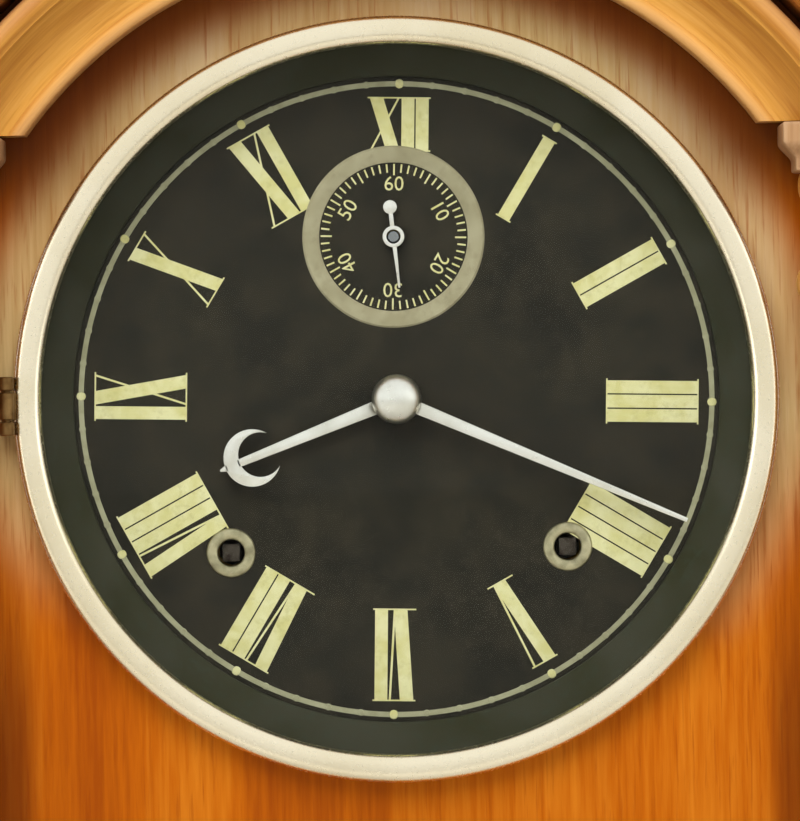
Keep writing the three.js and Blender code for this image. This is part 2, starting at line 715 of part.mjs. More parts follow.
// A rounded ring with a rebate behind its inner lip for the glass, and the middle knuckle of its hinge.
function bezel() {
  const crown = (BEZEL_OUTER_RADIUS + bezelInnerRadius) / 2;
  const lip = glassEdge - SEAT_GAP;
  const rebate = glassRadius + SEAT_GAP;
  const brow = BEZEL_WIDTH / 2;
  const body = turned([
    [BEZEL_OUTER_RADIUS, bezelBack],
    [BEZEL_OUTER_RADIUS, bezelFront + brow],
    [BEZEL_OUTER_RADIUS - 0.3 * brow, bezelFront + 0.3 * brow],
    [crown, bezelFront],
    [bezelInnerRadius + 0.3 * brow, bezelFront + 0.3 * brow],
    [bezelInnerRadius, bezelFront + brow],
    [bezelInnerRadius, lip],
    [rebate, lip],
    [rebate, bezelBack],
  ], 40);
  const half = KNUCKLE_LENGTH / 2;
  const web = block([hingeX, hingeY - knuckleRadius, -half], [-crown, bezelFront + HINGE_WEB, half]);
  const pinHole = upright(pinBore, -KNUCKLE_LENGTH, KNUCKLE_LENGTH);
  return cut(fuse(body, web, upright(knuckleRadius, -half, half)), pinHole);
}

// Half of a dome's section from the rim to the middle.
function domeArc(radius, rim, rise, steps) {
  const points = [];
  for (let step = 0; step <= steps; step++) {
    const reach = radius * (1 - step / steps);
    points.push([reach, rim - rise * (1 - (reach / radius) ** 2)]);
  }
  return points;
}

function glass() {
  const domeRadius = bezelInnerRadius - SEAT_GAP;
  const steps = 3;
  const front = domeArc(domeRadius, glassEdge, GLASS_RISE, steps);
  const back = domeArc(domeRadius, glassBack, GLASS_RISE, steps).reverse();
  return turned([[glassRadius, glassBack], [glassRadius, glassEdge], ...front, ...back], 30);
}

// The case's side of a hinge: a foot on the panel, two arms with their knuckles, and the pin.
function hinge() {
  const half = KNUCKLE_LENGTH / 2 + SEAT_GAP;
  const end = half + KNUCKLE_LENGTH / 2;
  const back = panelFront - SEAT_GAP;
  const inner = hingeX + SEAT_GAP;
  const foot = block([hingeX - knuckleRadius, back - HINGE_FOOT, -end], [inner, back, end]);
  const pieces = [foot, upright(HINGE_PIN_RADIUS, -end, end)];
  for (const [bottom, top] of [[-end, -half], [half, end]]) {
    pieces.push(block([hingeX - knuckleRadius, hingeY, bottom], [inner, back, top]));
    pieces.push(upright(knuckleRadius, bottom, top));
  }
  return fuse(...pieces);
}

// A cone that leads the eye from the bezel down to the dial.
const sightRing = () => turned([
  [openingRadius - SEAT_GAP, panelFront],
  [openingRadius - SEAT_GAP, panelBack],
  [sightRadius, panelBack],
  [openingRadius - SEAT_GAP - SIGHT_EDGE, panelFront],
], 40);

for (const [name, group] of [["time", movement], ["calendar", calendar]]) {
  add(group, `${name}_bezel`, bezel(), nickel);
  add(group, `${name}_glass`, glass(), clearGlass);
  add(group, `${name}_hinge`, hinge(), brass);
  add(group, `${name}_sight_ring`, sightRing(), blackPaint);
}

// Dials

function timeDial() {
  const shape = disc(openingRadius + DIAL_LAP, hourPipeRadius + WHEEL_GAP);
  shape.holes.push(hole(escapeArbor, ARBOR_RADIUS + RUNNING_GAP));
  shape.holes.push(hole(windingArbor, WINDING_HOLE_RADIUS, 16));
  shape.holes.push(hole(mirrored(windingArbor), WINDING_HOLE_RADIUS, 16));
  return plate(shape, dialFront, dialBack, 20);
}

function calendarDial() {
  const face = plate(disc(openingRadius + DIAL_LAP, ARBOR_RADIUS + RUNNING_GAP), dialFront, dialBack, 20);
  const windows = [-1, 1].map((side) => {
    const left = side * WINDOW_OFFSET - WINDOW_WIDTH / 2;
    const half = WINDOW_HEIGHT / 2;
    const front = dialFront - DIAL_THICKNESS;
    return block([left, front, -half], [left + WINDOW_WIDTH, dialBack + DIAL_THICKNESS, half]);
  });
  return cut(face, ...windows);
}

add(movement, "time_dial", timeDial(), blackPaint);
add(calendar, "calendar_dial", calendarDial(), blackPaint);

// Movement frame

const pillars = [
  ["upper_left_pillar", [-UPPER_PILLAR_X, UPPER_PILLAR_RISE]],
  ["upper_right_pillar", [UPPER_PILLAR_X, UPPER_PILLAR_RISE]],
  ["lower_left_pillar", [-LOWER_PILLAR_X, -LOWER_PILLAR_DROP]],
  ["lower_right_pillar", [LOWER_PILLAR_X, -LOWER_PILLAR_DROP]],
];

// The gong's wire climbs outwards at a steady rate and ends past the place where the hammer meets it.
const gongPitch = (GONG_RADIUS - GONG_INNER_RADIUS) / GONG_TURNS;
const strikeRadius = GONG_RADIUS - (gongPitch * WIRE_PAST_HAMMER) / 360;
const hammerReach = strikeRadius + GONG_WIRE_RADIUS + HAMMER_GAP + HAMMER_HEAD_RADIUS;
const hammerHead = [
  GONG_X + hammerReach * Math.cos(STRIKE_ANGLE * DEGREE),
  -GONG_DROP + hammerReach * Math.sin(STRIKE_ANGLE * DEGREE),
];
const hammerPivot = [hammerHead[0], -HAMMER_PIVOT_DROP];
const gongDepth = backFront - GONG_STANDOFF;

const trainArbors = [centreArbor, thirdArbor, escapeArbor, secondArbor];
const arborHoles = [...trainArbors, palletArbor, mirrored(secondArbor), hammerPivot];
const windingHoles = [windingArbor, mirrored(windingArbor)];

function movementPlate(front, back) {
  const half = PLATE_HALF_WIDTH;
  const low = -PLATE_BOTTOM;
  const shape = outline([[-half, low], [half, low], [half, PLATE_TOP], [-half, PLATE_TOP]]);
  for (const place of arborHoles) shape.holes.push(hole(place, ARBOR_RADIUS + RUNNING_GAP));
  for (const place of windingHoles) shape.holes.push(hole(place, WINDING_ARBOR_RADIUS + RUNNING_GAP));
  for (const [, place] of pillars) shape.holes.push(hole(place, PILLAR_NECK_RADIUS + RUNNING_GAP));
  return plate(shape, front, back, 6);
}

const minutePinionFront = frontPlate - MINUTE_PINION_STANDOFF;

// The front plate carries the stud that the minute wheel turns on.
function frontPlateWithStud() {
  const stud = shaft(minutePinionFront - ARBOR_END, [[ARBOR_RADIUS, trainFront]]);
  return fuse(movementPlate(frontPlate, trainFront), stud.translate(minuteStud[0], 0, minuteStud[1]));
}

const pillar = () => shaft(frontPlate - PILLAR_HEAD, [
  [PILLAR_RADIUS, frontPlate - SEAT_GAP],
  [PILLAR_NECK_RADIUS, trainFront + SEAT_GAP],
  [PILLAR_RADIUS, trainBack - SEAT_GAP],
  [PILLAR_NECK_RADIUS, backPlateBack + SEAT_GAP],
  [PILLAR_RADIUS, backFront - SEAT_GAP],
], 8);

add(movement, "front_plate", frontPlateWithStud(), brass);
add(movement, "back_plate", movementPlate(trainBack, backPlateBack), brass);
for (const [name, place] of pillars) add(movement, name, pillar(), steel, place);

// Going train

const wheelBore = ARBOR_RADIUS + SEAT_GAP;
const pinionPlate = (shape, middle) => layered(shape, middle, PINION_LENGTH);

// A train wheel with crossed-out arms.
function trainWheel(teeth, module, angle) {
  const rim = (teeth / 2 - RIM_DEPTH) * module;
  return crossed(wheelShape(teeth, module, angle), WHEEL_HUB_RADIUS, rim, WHEEL_ARMS, ARM_WIDTH);
}

// A barrel with its great wheel, for one side of the movement.
function barrel(angle) {
  const wheel = layered(wheelShape(GREAT_TEETH, greatModule, angle), GREAT_LAYER, WHEEL_THICKNESS);
  const drumBack = SECOND_LAYER - WHEEL_THICKNESS / 2 - WHEEL_GAP;
  const drum = shaft(GREAT_LAYER, [
    [BARREL_RADIUS, drumBack - BARREL_CHAMFER],
    [BARREL_RADIUS - BARREL_CHAMFER, drumBack],
  ], 32);
  const bore = shaft(frontPlate, [[WINDING_ARBOR_RADIUS + RUNNING_GAP, trainBack]]);
  return cut(fuse(wheel, drum), bore);
}

// A winding arbor ends in a square behind its hole in the dial.
function windingShaft() {
  const squareFront = dialBack + WINDING_SETBACK;
  const squareBack = squareFront + WINDING_SQUARE_LENGTH;
  const half = WINDING_SQUARE / 2;
  const square = block([-half, squareFront, -half], [half, squareBack + ARBOR_END, half]);
  return fuse(square, shaft(squareBack, [[WINDING_ARBOR_RADIUS, arborBack]]));
}

function secondWheel() {
  const toCentre = direction(secondArbor, centreArbor);
  const fromBarrel = direction(windingArbor, secondArbor);
  const wheel = trainWheel(SECOND_TEETH, secondModule, toCentre);
  return fuse(
    shaft(arborFront, [[ARBOR_RADIUS, arborBack]]),
    pinionPlate(pinionShape(SECOND_PINION_LEAVES, greatModule, fromBarrel), GREAT_LAYER),
    layered(wheel, SECOND_LAYER, WHEEL_THICKNESS),
  );
}

function centreShaft() {
  const fromSecond = direction(secondArbor, centreArbor);
  return fuse(
    shaft(minuteHandBack - HAND_THICKNESS - NUT_HEIGHT, [[ARBOR_RADIUS, arborBack]]),
    pinionPlate(pinionShape(CENTRE_PINION_LEAVES, secondModule, fromSecond), SECOND_LAYER),
  );
}

function centreWheel() {
  const shape = trainWheel(CENTRE_TEETH, centreModule, direction(centreArbor, thirdArbor));
  shape.holes.push(hole([0, 0], wheelBore));
  return layered(shape, CENTRE_LAYER, WHEEL_THICKNESS);
}

function thirdWheel() {
  const fromCentre = direction(centreArbor, thirdArbor);
  const toEscape = direction(thirdArbor, escapeArbor);
  const wheel = trainWheel(THIRD_TEETH, thirdModule, toEscape);
  return fuse(
    shaft(arborFront, [[ARBOR_RADIUS, arborBack]]),
    pinionPlate(pinionShape(THIRD_PINION_LEAVES, centreModule, fromCentre), CENTRE_LAYER),
    layered(wheel, THIRD_LAYER, WHEEL_THICKNESS),
  );
}

// The escape arbor runs on through the dial to carry the seconds hand.
function escapeShaft() {
  const fromThird = direction(thirdArbor, escapeArbor);
  return fuse(
    shaft(secondsHandBack - HAND_THICKNESS, [[ARBOR_RADIUS, arborBack]]),
    pinionPlate(pinionShape(ESCAPE_PINION_LEAVES, thirdModule, fromThird), THIRD_LAYER),
  );
}

// Saw-shaped teeth that lean the way the wheel turns.
function escapeWheel() {
  const root = ESCAPE_RADIUS - ESCAPE_TOOTH_DEPTH;
  const pitch = (2 * Math.PI) / ESCAPE_TEETH;
  const points = [];
  for (let tooth = 0; tooth < ESCAPE_TEETH; tooth++) {
    for (const [radius, share] of [[root, 0.3], [ESCAPE_RADIUS, 0]]) {
      const angle = (tooth + share) * pitch;
      points.push([radius * Math.cos(angle), radius * Math.sin(angle)]);
    }
  }
  const shape = crossed(outline(points), WHEEL_HUB_RADIUS, root - ESCAPE_RIM, ESCAPE_ARMS, ESCAPE_ARM);
  shape.holes.push(hole([0, 0], wheelBore));
  return layered(shape, ESCAPE_LAYER, WHEEL_THICKNESS);
}

const timeToSecond = direction(windingArbor, secondArbor);
const strikeToPin = direction(mirrored(windingArbor), mirrored(secondArbor));
add(movement, "time_barrel", barrel(timeToSecond), brass, windingArbor);
add(movement, "time_winding_arbor", windingShaft(), steel, windingArbor);
add(movement, "second_wheel", secondWheel(), brass, secondArbor);
add(movement, "centre_arbor", centreShaft(), steel, centreArbor);
add(movement, "centre_wheel", centreWheel(), brass, centreArbor);
add(movement, "third_wheel", thirdWheel(), brass, thirdArbor);
add(movement, "escape_arbor", escapeShaft(), steel, escapeArbor);
add(movement, "escape_wheel", escapeWheel(), brass, escapeArbor);

// Striking side

// A plain wheel whose pins lift the hammer.
function pinWheel() {
  const fromBarrel = strikeToPin;
  const pieces = [
    shaft(arborFront, [[ARBOR_RADIUS, arborBack]]),
    pinionPlate(pinionShape(SECOND_PINION_LEAVES, greatModule, fromBarrel), GREAT_LAYER),
    layered(disc(PIN_WHEEL_RADIUS), PIN_LAYER, WHEEL_THICKNESS, 12),
  ];
  for (let pin = 0; pin < PIN_COUNT; pin++) {
    const angle = (pin * 2 * Math.PI) / PIN_COUNT;
    const reach = PIN_WHEEL_RADIUS - PIN_INSET;
    const length = WHEEL_THICKNESS / 2 + PIN_PROUD;
    const stud = shaft(PIN_LAYER - length, [[PIN_RADIUS, PIN_LAYER + length]], 4);
    pieces.push(stud.translate(reach * Math.cos(angle), 0, reach * Math.sin(angle)));
  }
  return fuse(...pieces);
}

// The hammer hangs from its arbor behind the plates, a little clear of the gong.
function hammer() {
  const length = hammerPivot[1] - hammerHead[1];
  const armFront = gongDepth - HAMMER_ARM_THICKNESS / 2;
  const armBack = gongDepth + HAMMER_ARM_THICKNESS / 2;
  const wide = HAMMER_ARM_HALF;
  const narrow = (2 * wide) / 3;
  const high = HAMMER_ARM_END;
  const shape = outline([[-wide, high], [-narrow, -length], [narrow, -length], [wide, high]]);
  const head = shaft(gongDepth - HAMMER_HEAD_HALF, [[HAMMER_HEAD_RADIUS, gongDepth + HAMMER_HEAD_HALF]]);
  const arbor = shaft(arborFront, [[ARBOR_RADIUS, armBack]]);
  return fuse(arbor, plate(shape, armFront, armBack), head.translate(0, 0, -length));
}

class GongCurve extends THREE.Curve {
  getPoint(share, target = new THREE.Vector3()) {
    const turnsLeft = (1 - share) * GONG_TURNS;
    const angle = (STRIKE_ANGLE + WIRE_PAST_HAMMER) * DEGREE - turnsLeft * 2 * Math.PI;
    const radius = GONG_RADIUS - turnsLeft * gongPitch;
    return target.set(radius * Math.cos(angle), gongDepth, radius * Math.sin(angle));
  }
}

// A flat spiral of wire on a post that stands on the back board.
function gong() {
  const section = disc(GONG_WIRE_RADIUS);
  const steps = Math.round(GONG_TURNS * 16);
  const sweep = { steps, extrudePath: new GongCurve(), bevelEnabled: false, curveSegments: 3 };
  const wire = new THREE.ExtrudeGeometry(section, sweep);
  const postFront = gongDepth - GONG_POST_PROUD;
  const postRadius = GONG_INNER_RADIUS + GONG_POST_LAP;
  const post = shaft(postFront, [
    [postRadius - 3 * GONG_POST_CAP, postFront + GONG_POST_CAP],
    [postRadius, backFront - SEAT_GAP],
  ], 12);
  return fuse(wire, post);
}

// The least gap between the gong's turns, measured on points of its path.
function gongGap() {
  const points = new GongCurve().getPoints(Math.round(GONG_TURNS * 24));
  let least = Infinity;
  points.forEach((point, first) => {
    for (let second = first + 12; second < points.length; second++) {
      least = Math.min(least, point.distanceTo(points[second]) - 2 * GONG_WIRE_RADIUS);
    }
  });
  return least;
}
console.log(`least gap between the gong's turns: ${gongGap().toFixed(2)} mm`);

add(movement, "strike_barrel", barrel(strikeToPin), brass, mirrored(windingArbor));
add(movement, "strike_winding_arbor", windingShaft(), steel, mirrored(windingArbor));
add(movement, "strike_pin_wheel", pinWheel(), brass, mirrored(secondArbor));
add(movement, "hammer", hammer(), steel, hammerPivot);
add(movement, "gong", gong(), steel, [GONG_X, -GONG_DROP]);

// Motion work and hands

const cannonMiddle = frontPlate - CANNON_STANDOFF;
const hourWheelMiddle = frontPlate - HOUR_STANDOFF;

// A pipe on the centre line: its bore, its outside and its two ends.
const pipe = (bore, radius, front, back) =>
  turned([[bore, front], [radius, front], [radius, back], [bore, back]], 12);

function cannonPipe() {
  const tube = pipe(cannonBore, cannonRadius, minuteHandBack - HAND_THICKNESS, arborFront);
  const leaves = pinionShape(CANNON_LEAVES, cannonModule, direction(minuteStud, centreArbor));
  leaves.holes.push(hole([0, 0], (cannonBore + cannonRadius) / 2));
  return fuse(tube, layered(leaves, cannonMiddle, PINION_LENGTH));
}

// The minute wheel turns on its stud and carries the pinion that drives the hour wheel.
function minuteWheel() {
  const toCentre = direction(minuteStud, centreArbor);
  const wheel = layered(wheelShape(MINUTE_TEETH, cannonModule, toCentre), cannonMiddle, WHEEL_THICKNESS);
  const leaves = pinionShape(MINUTE_PINION_LEAVES, hourModule, direction(centreArbor, minuteStud));
  const pinion = plate(leaves, minutePinionFront, cannonMiddle);
  const bore = shaft(minutePinionFront - ARBOR_END, [[ARBOR_RADIUS + RUNNING_GAP, frontPlate]]);
  return cut(fuse(wheel, pinion), bore);
}

function hourWheel() {
  const pipeBack = hourWheelMiddle + WHEEL_THICKNESS / 2;
  const tube = pipe(hourBore, hourPipeRadius, hourHandBack - HAND_THICKNESS, pipeBack);
  const teeth = wheelShape(HOUR_TEETH, hourModule, direction(centreArbor, minuteStud));
  teeth.holes.push(hole([0, 0], (hourBore + hourPipeRadius) / 2));
  return fuse(tube, layered(teeth, hourWheelMiddle, WHEEL_THICKNESS));
}

const handPlate = (shape, back, segments = 6) => plate(shape, back - HAND_THICKNESS, back, segments);

// A tapering pointer from the hub to its tip.
const pointer = (from, to, wide, narrow) =>
  outline([[-wide / 2, from], [wide / 2, from], [narrow / 2, to], [-narrow / 2, to]]);

// The hour hand's crescent opens to the hub and lets the shaft in.
function hourHand() {
  const bore = hourPipeRadius + SEAT_GAP;
  const crescentTip = CRESCENT_REACH + CRESCENT_RADIUS;
  const outer = handPlate(disc(CRESCENT_RADIUS), hourHandBack, 12).translate(0, 0, CRESCENT_REACH);
  const inner = layered(disc(CRESCENT_BORE), hourHandBack, 4 * HAND_THICKNESS, 12);
  const crescent = cut(outer, inner.translate(0, 0, CRESCENT_REACH - CRESCENT_SHIFT));
  const hub = handPlate(disc(bore + HOUR_HUB_RIM, bore), hourHandBack);
  const stemEnd = crescentTip - HUB_LAP;
  const stem = handPlate(pointer(bore + HUB_LAP, stemEnd, HOUR_STEM, HOUR_STEM / 2), hourHandBack);
  const tip = handPlate(pointer(stemEnd, HOUR_HAND_LENGTH, HOUR_STEM, HAND_TIP), hourHandBack);
  return fuse(hub, stem, crescent, tip);
}

function minuteHand() {
  const bore = cannonRadius + SEAT_GAP;
  const length = sightRadius - MINUTE_HAND_CLEARANCE;
  const hub = handPlate(disc(bore + MINUTE_HUB_RIM, bore), minuteHandBack);
  return fuse(hub, handPlate(pointer(bore + HUB_LAP, length, MINUTE_STEM, HAND_TIP), minuteHandBack));
}

// A small hand with a round counterpoise behind its hub.
function secondsHand() {
  const bore = ARBOR_RADIUS + SEAT_GAP;
  const root = bore + SECONDS_HUB_RIM / 2;
  const hub = handPlate(disc(bore + SECONDS_HUB_RIM, bore), secondsHandBack);
  const counterpoise = handPlate(disc(COUNTERPOISE_RADIUS), secondsHandBack).translate(0, 0, -SECONDS_TAIL);
  return fuse(
    hub,
    counterpoise,
    handPlate(pointer(root, SECONDS_HAND_LENGTH, SECONDS_STEM, SECONDS_STEM / 2), secondsHandBack),
    handPlate(pointer(-SECONDS_TAIL, -root, SECONDS_STEM, SECONDS_STEM), secondsHandBack),
  );
}

// A domed nut with a bore for the arbor's end.
function handNut() {
  const bore = ARBOR_RADIUS + SEAT_GAP;
  const back = minuteHandBack - HAND_THICKNESS - SEAT_GAP;
  return turned([
    [bore, back],
    [NUT_RADIUS, back],
    [NUT_RADIUS, back - NUT_HEIGHT / 3],
    [0.8 * NUT_RADIUS, back - 0.8 * NUT_HEIGHT],
    [bore + SEAT_GAP, back - NUT_HEIGHT],
    [bore, back - NUT_HEIGHT],
  ], 16);
}

add(movement, "cannon_pipe", cannonPipe(), steel, centreArbor);
add(movement, "minute_wheel", minuteWheel(), brass, minuteStud);
add(movement, "hour_wheel", hourWheel(), brass, centreArbor);
add(movement, "hour_hand", hourHand(), handNickel, centreArbor, HOUR_ANGLE);
add(movement, "minute_hand", minuteHand(), handNickel, centreArbor, MINUTE_ANGLE);
add(movement, "seconds_hand", secondsHand(), handNickel, escapeArbor, SECONDS_ANGLE);
add(movement, "hand_nut", handNut(), handNickel, centreArbor);

// Pallets and pendulum, from the pallet arbor

const springHalf = SPRING_WIDTH / 2;
const rodTop = -SEAT_GAP - SPRING_LENGTH - SEAT_GAP;
const nutTop = -PENDULUM_LENGTH - BOB_RADIUS - SEAT_GAP;
const crutchFront = backPlateBack + CRUTCH_GAP;
const crutchBack = crutchFront + CRUTCH_THICKNESS;

// The anchor's two arms end in pallets that stay clear of the escape wheel.
function anchorShape() {
  const reach = ESCAPE_RADIUS + PALLET_CLEARANCE;
  const x = reach * Math.sin(PALLET_SPAN * DEGREE);
  const z = reach * Math.cos(PALLET_SPAN * DEGREE) - PALLET_RISE;
  const wide = PALLET_WIDTH;
  const right = [
    [x - wide, z + 1.4 * wide],
    [x, z],
    [x + wide, z + 0.4 * wide],
    [x + 0.6 * wide, z + 2.5 * wide],
  ];
  const left = right.map(mirrored).reverse();
  return outline([...right, [0, ANCHOR_DEPTH], ...left, [0, -wide]]);
}

// The pallets, their arbor and the crutch whose fork holds the pendulum rod move as one piece.
function pallets() {
  const gap = ROD_RADIUS + SEAT_GAP;
  const prong = gap + PRONG_THICKNESS;
  const low = -CRUTCH_LENGTH;
  const high = low + PRONG_HEIGHT;
  const wide = CRUTCH_HALF_WIDTH;
  const arm = block([-wide, crutchFront, low], [wide, crutchBack, wide]);
  const bar = block([-prong, crutchFront, low], [prong, crutchBack, high]);
  const forkBack = pendulumDepth + ROD_RADIUS + PRONG_THICKNESS;
  const fork = [-1, 1].map((side) => {
    const [from, to] = side < 0 ? [-prong, -gap] : [gap, prong];
    return block([from, crutchFront, low], [to, forkBack, high]);
  });
  return fuse(
    shaft(arborFront, [[ARBOR_RADIUS, crutchBack + ARBOR_END]]),
    layered(anchorShape(), ESCAPE_LAYER, WHEEL_THICKNESS),
    arm,
    bar,
    ...fork,
  );
}

// A bracket on the back plate, whose jaw holds the suspension spring at the pallet arbor's height.
function suspensionCock() {
  const high = PLATE_TOP - palletArbor[1];
  const front = backPlateBack + SEAT_GAP;
  const jawBack = pendulumDepth + springHalf;
  const wide = COCK_HALF_WIDTH;
  const foot = block([-wide, front, COCK_RISE], [wide, front + COCK_FOOT, high]);
  const arm = block([-COCK_ARM_HALF, front, COCK_RISE], [COCK_ARM_HALF, jawBack, high - COCK_FOOT]);
  const jaw = block([-JAW_HALF, pendulumDepth - springHalf, 0], [JAW_HALF, jawBack, high - COCK_FOOT]);
  return fuse(foot, arm, jaw);
}

const suspensionSpring = () => block(
  [-SPRING_THICKNESS / 2, pendulumDepth - springHalf, -SEAT_GAP - SPRING_LENGTH],
  [SPRING_THICKNESS / 2, pendulumDepth + springHalf, -SEAT_GAP],
);

// The rod hangs from a block on the spring and ends in the thread of the rating nut.
function pendulumRod() {
  const end = nutTop - RATING_NUT_HEIGHT - THREAD_END;
  const top = rodTop - CHOP_HEIGHT / 2;
  const rod = turnedUpright([[0, end], [ROD_RADIUS, end], [ROD_RADIUS, top], [0, top]], 10);
  const chop = block(
    [-JAW_HALF, pendulumDepth - springHalf, rodTop - CHOP_HEIGHT],
    [JAW_HALF, pendulumDepth + springHalf, rodTop],
  );
  return fuse(rod.translate(0, pendulumDepth, 0), chop);
}

const rodHole = () => turnedUpright([
  [0, -PENDULUM_LENGTH - 2 * BOB_RADIUS],
  [ROD_RADIUS + SEAT_GAP, -PENDULUM_LENGTH - 2 * BOB_RADIUS],
  [ROD_RADIUS + SEAT_GAP, -PENDULUM_LENGTH + 2 * BOB_RADIUS],
  [0, -PENDULUM_LENGTH + 2 * BOB_RADIUS],
], 10).translate(0, pendulumDepth, 0);

// A lens of brass, bored for the rod.
function bob() {
  const steps = 3;
  const back = [];
  for (let step = 0; step <= steps; step++) {
    const reach = (BOB_RADIUS * step) / steps;
    const swell = 1 - (step / steps) ** 2;
    back.push([reach, (BOB_EDGE + (BOB_THICKNESS - BOB_EDGE) * swell) / 2]);
  }
  const front = back.map(([reach, depth]) => [reach, -depth]).reverse();
  const lens = turned([...back, ...front], 24).translate(0, pendulumDepth, -PENDULUM_LENGTH);
  return cut(lens, rodHole());
}

const ratingNut = () => turnedUpright([
  [ROD_RADIUS + RUNNING_GAP, nutTop - RATING_NUT_HEIGHT],
  [RATING_NUT_RADIUS, nutTop - RATING_NUT_HEIGHT],
  [RATING_NUT_RADIUS, nutTop],
  [ROD_RADIUS + RUNNING_GAP, nutTop],
], 16).translate(0, pendulumDepth, 0);

add(movement, "pallets", pallets(), steel, palletArbor);
add(movement, "suspension_cock", suspensionCock(), brass, palletArbor);
add(movement, "suspension_spring", suspensionSpring(), steel, palletArbor);
add(movement, "pendulum_rod", pendulumRod(), steel, palletArbor);
add(movement, "pendulum_bob", bob(), brass, palletArbor);
add(movement, "rating_nut", ratingNut(), brass, palletArbor);

// Calendar work

const drumAxis = dialBack + DRUM_GAP + DRUM_RADIUS;
const drumHalf = WINDOW_WIDTH / 2 + DRUM_MARGIN;
const earInner = WINDOW_OFFSET - drumHalf - SEAT_GAP - EAR_THICKNESS;
const earOuter = WINDOW_OFFSET + drumHalf + SEAT_GAP;
const framePlate = drumAxis + DRUM_RADIUS + DRUM_GAP;
const frameBack = framePlate + EAR_THICKNESS;
const postRise = DRUM_RADIUS + POST_RADIUS + WHEEL_GAP;
const dateWheelRadius = earInner - WHEEL_GAP;
const dateHandBack = hourHandBack;

// A cylinder along X between two places, for the drums and their bearings.
function crosswise(radius, from, to, segments) {
  const geometry = turned([[0, from], [radius, from], [radius, to], [0, to]], segments);
  return geometry.rotateZ(-Math.PI / 2).translate(0, drumAxis, 0);
}

// Each drum turns on trunnions in the frame's ears.
function drum() {
  const trunnion = drumHalf + SEAT_GAP + EAR_THICKNESS;
  return fuse(
    crosswise(DRUM_RADIUS, -drumHalf, drumHalf, 21),
    crosswise(ARBOR_RADIUS, -trunnion, trunnion, 8),
  );
}

// A plate behind the drums with their four ears, held off the dial by four posts.
function calendarFrame() {
  const half = earOuter + EAR_THICKNESS;
  const rise = postRise + POST_RADIUS;
  const back = outline([[-half, -rise], [half, -rise], [half, rise], [-half, rise]]);
  back.holes.push(hole([0, 0], ARBOR_RADIUS + RUNNING_GAP));
  const pieces = [plate(back, framePlate, frameBack, 6)];
  for (const side of [-1, 1]) {
    for (const near of [earInner, earOuter]) {
      const edges = [side * near, side * (near + EAR_THICKNESS)].sort((a, b) => a - b);
      pieces.push(block([edges[0], drumAxis - EAR_HALF, -EAR_HALF], [edges[1], frameBack, EAR_HALF]));
    }
    for (const rise of [-postRise, postRise]) {
      const post = shaft(dialBack + SEAT_GAP, [[POST_RADIUS, frameBack]], 6);
      pieces.push(post.translate(side * WINDOW_OFFSET, 0, rise));
    }
  }
  const bearing = crosswise(ARBOR_RADIUS + RUNNING_GAP, -half - SEAT_GAP, half + SEAT_GAP, 8);
  return cut(fuse(...pieces), bearing);
}

// The date arbor carries a ratchet of one tooth for each day of the longest month.
function dateWheel() {
  const pitch = (2 * Math.PI) / DATE_TEETH;
  const points = [];
  for (let tooth = 0; tooth < DATE_TEETH; tooth++) {
    for (const [radius, share] of [[dateWheelRadius, 0], [dateWheelRadius - RATCHET_DEPTH, 0.15]]) {
      const angle = (tooth + share) * pitch;
      points.push([radius * Math.cos(angle), radius * Math.sin(angle)]);
    }
  }
  const front = framePlate - 2 * WHEEL_GAP - WHEEL_THICKNESS;
  return fuse(
    shaft(dateHandBack - HAND_THICKNESS - ARBOR_END, [[ARBOR_RADIUS, frameBack + ARBOR_END]]),
    plate(outline(points), front, front + WHEEL_THICKNESS),
  );
}

function dateHand() {
  const bore = ARBOR_RADIUS + SEAT_GAP;
  const root = bore + DATE_HUB_RIM / 2;
  const length = sightRadius - DATE_HAND_CLEARANCE;
  return fuse(
    handPlate(disc(bore + DATE_HUB_RIM, bore), dateHandBack),
    handPlate(pointer(root, length, DATE_STEM, HAND_TIP), dateHandBack),
    handPlate(pointer(-DATE_TAIL, -root, 1.3 * DATE_STEM, 0.7 * DATE_STEM), dateHandBack),
  );
}

add(calendar, "calendar_frame", calendarFrame(), brass);
add(calendar, "date_wheel", dateWheel(), brass);
add(calendar, "date_hand", dateHand(), handNickel, [0, 0], DATE_ANGLE);
add(calendar, "day_drum", drum(), paper, [-WINDOW_OFFSET, 0]);
add(calendar, "month_drum", drum(), paper, [WINDOW_OFFSET, 0]);

export default clock;
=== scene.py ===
"""Dresses a calendar clock in an arched wooden case and sets it in a plain studio.

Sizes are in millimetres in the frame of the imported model: the dials face -Y, +X is on the reader's right
and +Z is up. A mesh is turned to metres when it is finished.
"""

import logging
import math
from collections.abc import Sequence
from dataclasses import dataclass
from enum import Enum, StrEnum

import bmesh
import bpy
from mathutils import Matrix, Vector


